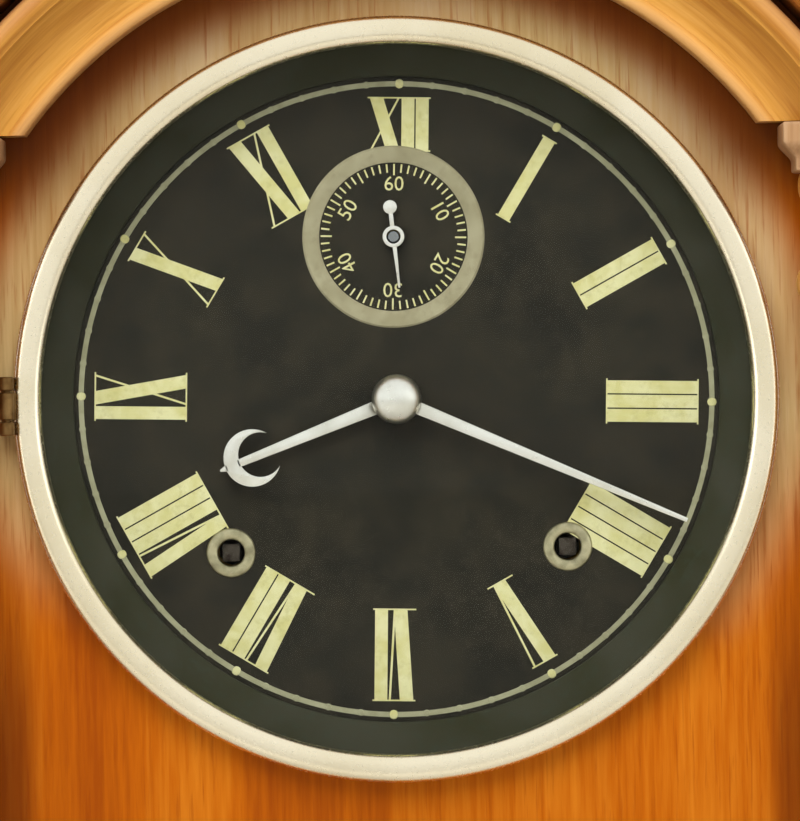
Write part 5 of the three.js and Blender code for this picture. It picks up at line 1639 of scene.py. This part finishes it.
    def build_sight_ring(self) -> None:
        """Builds the dark cone between the bezel and the dial with a bead at its foot."""
        node = f"{self.name}_sight_ring"
        low, high = node_box(node)
        outer = (high.x - low.x) / 2
        bead = self.sight_bead
        profile = [(outer, low.y), (outer, high.y), (self.sight, high.y)]
        foot = (self.sight + bead, high.y - bead)
        profile += arc(foot, bead, 180, self.sight_bead_end, self.glass_steps)
        profile += [(outer - bead, low.y + self.seat), (outer - self.seat, low.y)]
        rider = Rider("case", Slot.DIAL_BLACK, (node,))
        finish_piece(f"{self.name}_dark_cone", self.spun(profile), self.finishes.sight, rider)


# Dials


class Stroke(Enum):
    """The kinds of letter that a Roman numeral is drawn with."""

    ONE = "I"
    FIVE = "V"
    TEN = "X"


@dataclass
class TimeDial:
    """The time dial's painted and applied marks."""

    finishes: Finishes
    print_turn: float = 1.6
    inner: float = 42.3
    outer: float = 61.0
    twelve_inner: float = 50.0
    thick: float = 2.6
    gap: float = 0.28
    hairline: float = 0.42
    five_width: float = 5.0
    five_foot: float = 0.55
    ten_width: float = 6.2
    slant: float = 1.05
    serif: float = 0.3
    serif_reach: float = 0.4
    paint: float = 0.1
    overlap: float = 0.012
    track: float = 63.7
    track_width: float = 1.05
    minute_dot: float = 0.72
    hour_dot: float = 0.95
    dot_crown: float = 0.8
    dot_shoulder: float = 0.16
    dot_rise: float = 0.19
    seconds_outer: float = 18.4
    seconds_inner: float = 15.0
    seconds_lip: float = 0.35
    ring_rise: float = 0.4
    tick_foot: float = 13.0
    tick_reach: float = 1.7
    tick_width: float = 0.34
    seconds_figures: float = 10.6
    figure_step: int = 10
    figure_height: float = 2.9
    hole_spread: float = 34.0
    hole_drop: float = 30.4
    eyelet_inner: float = 2.7
    eyelet_outer: float = 5.0
    eyelet_wall: float = 0.9
    eyelet_depth: float = 0.9
    eyelet_flatness: float = 0.5
    ring_steps: int = 180
    dot_steps: int = 12
    eyelet_steps: int = 40

    def __post_init__(self) -> None:
        """Finds the dial's centre and face."""
        self.centre = node_middle("time_dial")
        self.front = node_box("time_dial")[0].y

    def build(self) -> None:
        """Builds the dial's marks and dresses its plate."""
        dress(["time_dial"], self.finishes.dial)
        self.build_numerals()
        self.build_track()
        self.build_seconds()
        self.build_eyelets()

    def bar(self, start: Point, end: Point, width: float, rise: float = 0.0) -> Mesh:
        """One painted stroke with level ends, in x and z about the origin.

        Args:
            start: Its foot.
            end: Its head.
            width: How wide it is, measured level.
            rise: Paint above the usual thickness, where strokes cross.

        Returns:
            The closed mesh.
        """
        half = width / 2
        outline = [
            (start[0] - half, start[1]),
            (start[0] + half, start[1]),
            (end[0] + half, end[1]),
            (end[0] - half, end[1]),
        ]
        return upright_plate(outline, -self.paint - rise, 0.0)

    def letter(self, stroke: Stroke, left: float, low: float, high: float) -> tuple[list[Mesh], float]:
        """Draws one letter of a numeral.

        Args:
            stroke: Which letter.
            left: Where it starts.
            low: Its foot.
            high: Its head.

        Returns:
            The letter's strokes and where it ends.
        """
        if stroke is Stroke.ONE:
            right = left + self.thick
            middle = (left + right) / 2
            return [self.bar((middle, low), (middle, high), self.thick)], right
        level = self.thick * self.slant
        head = left + level / 2
        thin = self.hairline / 2
        if stroke is Stroke.FIVE:
            right = left + self.five_width
            foot = left + self.five_width * self.five_foot
            rising_foot = foot + level / 2 - thin
        else:
            right = left + self.ten_width
            foot = right - level / 2
            rising_foot = left + thin
        falling = self.bar((foot, low), (head, high), level)
        rising = self.bar((rising_foot, low), (right - thin, high), self.hairline, self.overlap)
        return [falling, rising], right

    def numeral(self, text: str, low: float, high: float) -> Mesh:
        """Draws one numeral, centred about x zero.

        Args:
            text: Its letters.
            low: Its foot.
            high: Its head.

        Returns:
            The numeral's strokes in one mesh.
        """
        strokes: list[Mesh] = []
        place = -self.gap
        for sign in text:
            drawn, place = self.letter(Stroke(sign), place + self.gap, low, high)
            strokes += drawn
        middle = place / 2
        reach = place + 2 * self.serif_reach
        for foot in (low, high - self.serif):
            strokes.append(self.bar((middle, foot), (middle, foot + self.serif), reach, 2 * self.overlap))
        return placed(joined(strokes), Matrix.Translation((-middle, 0, 0)))

    def build_numerals(self) -> None:
        """Paints the twelve hours, feet to the centre."""
        hours = ("I", "II", "III", "IIII", "V", "VI", "VII", "VIII", "IX", "X", "XI", "XII")
        numerals = []
        for number, text in enumerate(hours, start=1):
            foot = self.twelve_inner if number == len(hours) else self.inner
            angle = number * MARKS_PER_HOUR * MARK_TURN + self.print_turn
            mesh = self.numeral(text, foot, self.outer)
            numerals.append(placed(mesh, dial_place(self.centre, 0.0, angle, self.front)))
        finish_piece("time_numerals", joined(numerals), self.finishes.gilt, Rider("case", Slot.BRASS))

    def dot(self, minute: int, radius: float) -> Mesh:
        """Paints one raised dot on the minute track.

        Args:
            minute: The minute that it marks.
            radius: Its radius.

        Returns:
            The closed mesh in its place.
        """
        crown = self.dot_crown * radius
        profile = [(0, 0), (radius, 0), (crown, -self.dot_shoulder), (0, -self.dot_rise)]
        mesh = turned(profile, Axis.DEPTH, (0, 0, 0), self.dot_steps)
        angle = minute * MARK_TURN + self.print_turn
        return placed(mesh, dial_place(self.centre, self.track, angle, self.front))

    def build_track(self) -> None:
        """Paints the minute track: a fine ring, dots at the minutes and larger ones at the hours."""
        x, z = self.centre
        ring = painted_ring(self.track, self.track_width, self.paint, (x, self.front, z), self.ring_steps)
        between = [minute for minute in range(MARKS) if minute % MARKS_PER_HOUR]
        marks = [ring, *(self.dot(minute, self.minute_dot) for minute in between)]
        finish_piece("minute_track", joined(marks), self.finishes.thin_gilt, Rider("case", Slot.BRASS))
        hours = [self.dot(minute, self.hour_dot) for minute in range(0, MARKS, MARKS_PER_HOUR)]
        finish_piece("hour_dots", joined(hours), self.finishes.gilt, Rider("case", Slot.BRASS))

    def build_seconds(self) -> None:
        """Builds the seconds dial: a silvered ring, its ticks and its figures."""
        centre = (self.centre[0], self.centre[1] + SECONDS_RISE)
        outer = self.seconds_outer
        inner = self.seconds_inner
        lip = self.seconds_lip
        rise = self.ring_rise
        ring = [(inner, 0), (inner, -rise / 2), (inner + lip, -rise)]
        ring += [(outer - lip, -rise), (outer, -rise / 4), (outer, 0)]
        mesh = turned(ring, Axis.DEPTH, (centre[0], self.front, centre[1]), self.ring_steps)
        finish_piece("seconds_ring", mesh, self.finishes.silvered, Rider("case", Slot.BEZEL_NICKEL))
        marks = []
        for second in range(MARKS):
            foot = self.tick_foot if second % MARKS_PER_HOUR else self.tick_foot - self.tick_reach / 3
            tick = self.bar((0, foot), (0, self.tick_foot + self.tick_reach), self.tick_width)
            angle = second * MARK_TURN + self.print_turn
            marks.append(placed(tick, dial_place(centre, 0.0, angle, self.front)))
        for number in range(self.figure_step, MARKS + 1, self.figure_step):
            text = figures(str(number), self.figure_height, self.paint)
            angle = number * MARK_TURN + self.print_turn
            marks.append(placed(text, dial_place(centre, self.seconds_figures, angle, self.front)))
        finish_piece("seconds_marks", joined(marks), self.finishes.gilt, Rider("case", Slot.BRASS))

    def build_eyelets(self) -> None:
        """Builds the rolled eyelets of the two winding holes."""
        middle = (self.eyelet_inner + self.eyelet_outer) / 2
        half = (self.eyelet_outer - self.eyelet_inner) / 2
        roll = arc((middle, 0), half, 360, 180, self.dot_steps)
        profile = [(radius, depth * self.eyelet_flatness) for radius, depth in roll]
        sleeve = self.eyelet_inner + self.eyelet_wall
        profile += [(self.eyelet_inner, self.eyelet_depth), (sleeve, self.eyelet_depth), (sleeve, 0)]
        eyelets = []
        for side in Side:
            across = self.centre[0] + side.value * self.hole_spread
            place = (across, self.front, self.centre[1] - self.hole_drop)
            eyelets.append(turned(profile, Axis.DEPTH, place, self.eyelet_steps))
        finish_piece("winding_eyelets", joined(eyelets), self.finishes.eyelet, Rider("case", Slot.BRASS))


@dataclass
class CalendarDial:
    """The calendar dial's dates and windows, and the drums behind them."""

    finishes: Finishes
    dates: int = 31
    weekdays: int = 7
    weekday_shown: int = 3
    months: int = 12
    month_shown: int = 9
    figures_radius: float = 57.2
    figure_height: float = 5.0
    ring_inner: float = 52.8
    ring_outer: float = 61.8
    ring_width: float = 0.45
    paint: float = 0.1
    window_offset: float = 27.0
    window_width: float = 26.0
    window_height: float = 9.0
    frame_width: float = 1.3
    frame_rise: float = 0.6
    frame_edge: float = 0.25
    drum_radius: float = 11.0
    drum_half: float = 15.0
    drum_ease: float = 0.3
    trunnion: float = 1.1
    drum_figure: float = 5.4
    figure_share: float = 0.6
    figure_root: float = 0.3
    ring_steps: int = 160
    drum_steps: int = 72

    def __post_init__(self) -> None:
        """Finds the dial's centre and face."""
        self.centre = node_middle("calendar_dial")
        self.front = node_box("calendar_dial")[0].y

    def build(self) -> None:
        """Builds the dial's marks and the printed drums."""
        dress(["calendar_dial"], self.finishes.dial)
        self.build_dates()
        self.build_windows()
        self.build_drum("day", self.weekdays, self.weekday_shown)
        self.build_drum("month", self.months, self.month_shown)

    def build_dates(self) -> None:
        """Paints the dates from one to thirty-one between two fine rings."""
        x, z = self.centre
        middle = (x, self.front, z)
        marks = [
            painted_ring(radius, self.ring_width, self.paint, middle, self.ring_steps)
            for radius in (self.ring_inner, self.ring_outer)
        ]
        for date in range(1, self.dates + 1):
            text = figures(str(date), self.figure_height, self.paint)
            place = dial_place(self.centre, self.figures_radius, date * 360 / self.dates, self.front)
            marks.append(placed(text, place))
        finish_piece("date_figures", joined(marks), self.finishes.gilt, Rider("case", Slot.BRASS))

    def build_windows(self) -> None:
        """Builds the bevelled frames round the two windows."""
        frames = []
        wide = self.window_width / 2
        tall = self.window_height / 2
        rim = self.frame_width
        front = self.front - self.frame_rise
        for side in Side:
            x = self.centre[0] + side.value * self.window_offset
            z = self.centre[1]
            for low, high in (
                ((-wide - rim, tall), (wide + rim, tall + rim)),
                ((-wide - rim, -tall - rim), (wide + rim, -tall)),
                ((-wide - rim, -tall), (-wide, tall)),
                ((wide, -tall), (wide + rim, tall)),
            ):
                bar = block((x + low[0], front, z + low[1]), (x + high[0], self.front, z + high[1]))
                frames.append(soften(bar, self.frame_edge))
        finish_piece("window_frames", joined(frames), self.finishes.brass, Rider("case", Slot.BRASS))

    def build_drum(self, name: str, count: int, shown: int) -> None:
        """Builds one printed drum with its trunnions.

        Args:
            name: The drum's body.
            count: How many figures go round it.
            shown: The figure in its window.
        """
        node = f"{name}_drum"
        low, high = node_box(node)
        axis = (low + high) / 2
        half = self.drum_half
        radius = self.drum_radius
        ease = self.drum_ease
        end = (high.x - low.x) / 2
        profile = [(0, -end), (self.trunnion, -end), (self.trunnion, -half)]
        profile += [(radius - ease, -half), (radius, -half + ease)]
        profile += [(place, -along) for place, along in reversed(profile)]
        mesh = turned(profile, Axis.ACROSS, axis, self.drum_steps)
        rider = Rider(name, Slot.DRUM_PAPER, (node,))
        finish_piece(f"{name}_paper_drum", mesh, self.finishes.paper, rider)
        # The flat figures are rooted in the paper, so that the drum's curve doesn't leave them in the air.
        lift = Matrix.Translation((0, self.figure_root - radius, 0))
        tall = min(self.drum_figure, self.figure_share * math.tau * radius / count)
        numbers = []
        for number in range(count):
            figure = (number + shown - 1) % count + 1
            text = figures(str(figure), tall, self.figure_root + self.paint)
            turn = Matrix.Rotation(math.tau * number / count, 4, "X")
            numbers.append(placed(text, Matrix.Translation(axis) @ turn @ lift))
        finish_piece(f"{name}_figures", joined(numbers), self.finishes.ink, Rider(name, Slot.DIAL_BLACK))


# Hands


@dataclass
class Hands:
    """The nickelled hands, each on the arbor or pipe that carries it."""

    finishes: Finishes
    thickness: float = 0.8
    hub_proud: float = 0.06
    edge: float = 0.16
    edge_angle: float = 60.0
    lap: float = 0.5
    hour_angle: float = 248.9
    minute_angle: float = 113.7
    seconds_angle: float = 174.4
    date_angle: float = 151.0
    hour_hub: Pair = (4.8, 3.4)
    hour_stem: Pair = (2.8, 1.6)
    hour_length: float = 38.4
    crescent_reach: float = 31.4
    crescent: float = 5.8
    crescent_bore: float = 4.5
    crescent_shift: float = 1.8
    crescent_tip: Pair = (1.6, 0.4)
    minute_hub: Pair = (4.4, 2.4)
    minute_stem: Pair = (2.6, 0.9)
    minute_length: float = 63.4
    seconds_hub: Pair = (2.2, 1.4)
    seconds_stem: Pair = (0.9, 0.45)
    seconds_length: float = 10.4
    seconds_tail: float = 6.0
    seconds_weight: float = 1.4
    date_hub: Pair = (3.8, 1.4)
    date_stem: Pair = (2.2, 0.6)
    date_length: float = 52.0
    date_tail: float = 14.0
    date_tail_end: float = 2.8
    nut_radius: float = 5.0
    hub_steps: int = 40
    crescent_steps: int = 36
    crescent_bore_steps: int = 32
    nut_steps: int = 14

    def __post_init__(self) -> None:
        """Finds the axis of the hour and minute hands."""
        self.centre = node_middle("time_dial")

    def build(self) -> None:
        """Builds every hand and the nut that holds them."""
        self.build_hour()
        self.build_minute()
        self.build_seconds()
        self.build_date()
        self.build_nut()

    def hub(self, size: Pair) -> Mesh:
        """Makes a flat round hub about the origin.

        Args:
            size: Its outer radius and its bore.

        Returns:
            The closed mesh.
        """
        outer, bore = size
        front = -self.thickness - self.hub_proud
        ring = [(bore, front), (outer, front), (outer, 0), (bore, 0)]
        return turned(ring, Axis.DEPTH, (0, 0, 0), self.hub_steps)

    def blade(self, outline: Sequence[Point]) -> Mesh:
        """Makes one flat stretch of a hand, about the origin."""
        return upright_plate(outline, -self.thickness, 0.0)

    def taper(self, start: float, end: float, widths: Pair) -> Mesh:
        """Makes a straight blade between two places on the hand, with its width at each."""
        first, last = (width / 2 for width in widths)
        return self.blade([(-first, start), (first, start), (last, end), (-last, end)])

    def set_hand(self, name: str, parts: Sequence[Mesh], centre: Point, angle: float, body: str) -> None:
        """Turns a hand to its angle and hangs it on its body.

        Args:
            name: The node that the hand stands for.
            parts: The hand's stretches, pointing up from the origin.
            centre: Its axis as x and z.
            angle: Its angle from twelve in degrees.
            body: The body that it rides on.
        """
        back = node_box(name)[1].y
        softened = [soften(part, self.edge, self.edge_angle) for part in parts]
        mesh = placed(joined(softened), dial_place(centre, 0.0, angle, back))
        finish_piece(f"{name}_blade", mesh, self.finishes.hand, Rider(body, Slot.HAND_NICKEL, (name,)))

    def crescent_outline(self) -> list[Point]:
        """Draws the hour hand's crescent, whose horns point back to the hub.

        Returns:
            The outline, round its back and then its bore.
        """
        wide, bore, shift = self.crescent, self.crescent_bore, self.crescent_shift
        horn = math.acos((wide**2 + shift**2 - bore**2) / (2 * wide * shift))
        inner_horn = math.degrees(math.asin(wide * math.sin(horn) / bore))
        outer_horn = math.degrees(horn)
        reach = self.crescent_reach
        back = arc((0, reach), wide, outer_horn - 90, 270 - outer_horn, self.crescent_steps)
        steps = self.crescent_bore_steps
        front = arc((0, reach - shift), bore, 270 - inner_horn, inner_horn - 90, steps)
        return back + front[1:-1]

    def build_hour(self) -> None:
        """Builds the hour hand with its crescent."""
        tip = self.crescent_reach + self.crescent
        back = self.crescent_reach - self.crescent_shift + self.crescent_bore
        parts = [
            self.hub(self.hour_hub),
            self.taper(sum(self.hour_hub) / 2, back + self.lap, self.hour_stem),
            self.blade(self.crescent_outline()),
            self.taper(tip - self.lap, self.hour_length, self.crescent_tip),
        ]
        self.set_hand("hour_hand", parts, self.centre, self.hour_angle, "hour")

    def build_minute(self) -> None:
        """Builds the plain tapering minute hand."""
        start = sum(self.minute_hub) / 2
        parts = [self.hub(self.minute_hub), self.taper(start, self.minute_length, self.minute_stem)]
        self.set_hand("minute_hand", parts, self.centre, self.minute_angle, "minute")

    def build_seconds(self) -> None:
        """Builds the seconds hand with its counterpoise."""
        front = -self.thickness - self.hub_proud
        weight = [(0, front), (self.seconds_weight, front), (self.seconds_weight, 0), (0, 0)]
        start = sum(self.seconds_hub) / 2
        wide = self.seconds_stem[0]
        parts = [
            self.hub(self.seconds_hub),
            self.taper(start, self.seconds_length, self.seconds_stem),
            self.taper(-self.seconds_tail, -start, (wide, wide)),
            turned(weight, Axis.DEPTH, (0, 0, -self.seconds_tail), self.hub_steps),
        ]
        centre = (self.centre[0], self.centre[1] + SECONDS_RISE)
        self.set_hand("seconds_hand", parts, centre, self.seconds_angle, "seconds")

    def build_date(self) -> None:
        """Builds the date hand with its tail."""
        start = sum(self.date_hub) / 2
        parts = [
            self.hub(self.date_hub),
            self.taper(start, self.date_length, self.date_stem),
            self.taper(-self.date_tail, -start, (self.date_tail_end, self.date_stem[0])),
        ]
        self.set_hand("date_hand", parts, node_middle("calendar_dial"), self.date_angle, "date")

    def build_nut(self) -> None:
        """Builds the domed nut over the hands."""
        low, high = node_box("hand_nut")
        tall = high.y - low.y
        angles = [math.pi / 2 * step / self.nut_steps for step in range(self.nut_steps + 1)]
        dome = [(self.nut_radius * math.cos(angle), -tall * math.sin(angle)) for angle in angles]
        x, z = self.centre
        mesh = turned([(0.0, 0.0), *dome], Axis.DEPTH, (x, high.y, z), self.hub_steps)
        rider = Rider("minute", Slot.HAND_NICKEL, ("hand_nut",))
        finish_piece("domed_nut", mesh, self.finishes.hand, rider)


# Works


@dataclass
class Works:
    """The movement, the pendulum and the calendar work, which keep their turned and cut shapes."""

    finishes: Finishes

    def dress(self) -> None:
        """Gives the works their brass, steel and iron."""
        brass = ["front_plate", "back_plate", "suspension_cock", "calendar_frame", "escape_wheel"]
        brass += ["third_wheel", "centre_wheel", "minute_wheel", "hour_wheel", "second_wheel"]
        brass += ["time_barrel", "strike_barrel", "strike_pin_wheel", "pendulum_bob", "rating_nut"]
        brass += ["date_wheel", "cannon_pipe"]
        steel = [f"{height}_{side.word}_pillar" for height in ("upper", "lower") for side in Side]
        steel += ["gong", "escape_arbor", "centre_arbor", "hammer", "pallets", "suspension_spring"]
        steel += ["pendulum_rod"]
        dress(brass, self.finishes.brass)
        dress(steel, self.finishes.steel)
        dress(["time_winding_arbor", "strike_winding_arbor"], self.finishes.iron)


# Studio


@dataclass(frozen=True)
class Lamp:
    """One soft square lamp that faces the time dial, placed by its angles from there."""

    name: str
    azimuth: float
    elevation: float
    distance: float
    size: float
    power: float
    mirrored: bool = True

    def build(self, aim: Vector) -> None:
        """Hangs the lamp.

        Args:
            aim: What it faces, in millimetres.
        """
        across = math.radians(self.azimuth)
        rise = math.radians(self.elevation)
        level = math.cos(rise)
        away = Vector((math.sin(across) * level, -math.cos(across) * level, math.sin(rise)))
        light = bpy.data.lights.new(self.name, "AREA")
        light.size = self.size * MM
        light.energy = self.power
        holder = bpy.data.objects.new(self.name, light)
        holder.location = (aim + away * self.distance) * MM
        holder.rotation_euler = away.to_track_quat("Z", "Y").to_euler()
        # The glass casts a clear shadow already, so a lamp met through it would light the dial twice.
        holder.visible_transmission = False
        holder.visible_glossy = self.mirrored
        bpy.context.scene.collection.objects.link(holder)


@dataclass
class Studio:
    """A pale floor, soft lamps and a camera that looks straight at the time dial."""

    picture_width: int = 800
    picture_height: int = 821
    dial_pixel: Point = (396.5, 399.0)
    pixels_per_mm: float = 5.0
    roll: float = 1.1
    distance: float = 1500.0
    sensor: float = 36.0
    bezel_depth: float = -45.0
    clip_end: float = 20.0
    ambient: float = 0.27
    room: str = "#fff8ee"
    white: str = "#ffffff"
    no_bounce: float = 0.5
    floor_size: float = 3.0
    floor_cells: int = 4

    def build(self) -> None:
        """Builds the floor, the world, the lamps and the camera."""
        self.build_floor()
        self.build_world()
        x, z = node_middle("time_dial")
        dial = Vector((x, self.bezel_depth, z))
        lamps = (
            Lamp("key_lamp", azimuth=-6, elevation=38, distance=1500, size=1200, power=23.0, mirrored=False),
            Lamp("left_lamp", azimuth=-50, elevation=2, distance=1600, size=700, power=3.0),
            Lamp("right_lamp", azimuth=48, elevation=4, distance=1600, size=700, power=2.0),
            Lamp("back_lamp", azimuth=160, elevation=40, distance=1800, size=1200, power=14.0),
        )
        for lamp in lamps:
            lamp.build(dial)
        self.build_camera(dial)
        bpy.context.scene.view_settings.view_transform = "Standard"

    def build_floor(self) -> None:
        """Builds the pale floor that keeps the clock's shadow."""
        mesh = bmesh.new()
        cells = self.floor_cells
        bmesh.ops.create_grid(mesh, x_segments=cells, y_segments=cells, size=self.floor_size)
        data = bpy.data.meshes.new("floor")
        mesh.to_mesh(data)
        mesh.free()
        floor = bpy.data.objects.new("floor", data)
        # Matt emulsion on a smooth floor: pale, with hardly any sheen.
        paint = AgedPaint(
            "pale studio floor", "#dedbd5", "#e6e3de", "#d2cec6", roughness=0.7, cloud_mm=200, speck_mm=30
        )
        data.materials.append(paint.material())
        bpy.context.scene.collection.objects.link(floor)

    def build_world(self) -> None:
        """Lights the room evenly and shows white where nothing stands."""
        world = bpy.data.worlds.new("studio")
        world.use_nodes = True
        tree = world.node_tree
        tree.nodes.clear()
        path = add_node(tree, "ShaderNodeLightPath")
        seen = path.outputs["Is Camera Ray"]
        for kind in ("Is Glossy Ray", "Is Transmission Ray"):
            either = {0: seen, 1: path.outputs[kind]}
            seen = add_node(tree, "ShaderNodeMath", {"operation": "MAXIMUM"}, either).outputs[0]
        # Light that has left a matt surface, such as the dial behind its glass, meets the room, not the
        # white.
        direct = {0: path.outputs["Diffuse Depth"], 1: self.no_bounce}
        first = add_node(tree, "ShaderNodeMath", {"operation": "LESS_THAN"}, direct).outputs[0]
        seen = add_node(tree, "ShaderNodeMath", {"operation": "MULTIPLY"}, {0: seen, 1: first}).outputs[0]
        dim = {"Color": linear(self.room), "Strength": self.ambient}
        room = add_node(tree, "ShaderNodeBackground", inputs=dim)
        bright = {"Color": linear(self.white), "Strength": 1.0}
        white = add_node(tree, "ShaderNodeBackground", inputs=bright)
        either = {"Fac": seen, 1: room.outputs[0], 2: white.outputs[0]}
        both = add_node(tree, "ShaderNodeMixShader", inputs=either)
        add_node(tree, "ShaderNodeOutputWorld", inputs={"Surface": both.outputs[0]})
        bpy.context.scene.world = world

    def build_camera(self, dial: Vector) -> None:
        """Aims the camera so that the dial's centre falls on its pixel of the picture.

        Args:
            dial: The time dial's centre at the depth of its bezel.
        """
        camera = bpy.data.cameras.new("camera")
        camera.sensor_fit = "HORIZONTAL"
        camera.sensor_width = self.sensor
        camera.lens = self.sensor * self.distance * self.pixels_per_mm / self.picture_width
        camera.clip_end = self.clip_end
        roll = math.radians(self.roll)
        right = (self.picture_width / 2 - self.dial_pixel[0]) / self.pixels_per_mm
        down = (self.picture_height / 2 - self.dial_pixel[1]) / self.pixels_per_mm
        across = right * math.cos(roll) - down * math.sin(roll)
        below = right * math.sin(roll) + down * math.cos(roll)
        place = dial + Vector((across, -self.distance, -below))
        facing = Matrix.Rotation(math.pi / 2, 4, "X") @ Matrix.Rotation(-roll, 4, "Z")
        holder = bpy.data.objects.new("camera", camera)
        holder.matrix_world = Matrix.Translation(place * MM) @ facing
        bpy.context.scene.collection.objects.link(holder)
        bpy.context.scene.camera = holder


def main() -> None:
    """Builds the clock's pieces in order and sets the studio."""
    logging.basicConfig(level=logging.INFO, format="%(message)s")
    finishes = Finishes()
    Case(finishes).build()
    for name in ("time", "calendar"):
        Door(finishes, name, f"{name}_door").build()
    TimeDial(finishes).build()
    CalendarDial(finishes).build()
    Hands(finishes).build()
    Works(finishes).dress()
    Studio().build()


if __name__ == "__main__":
    main()
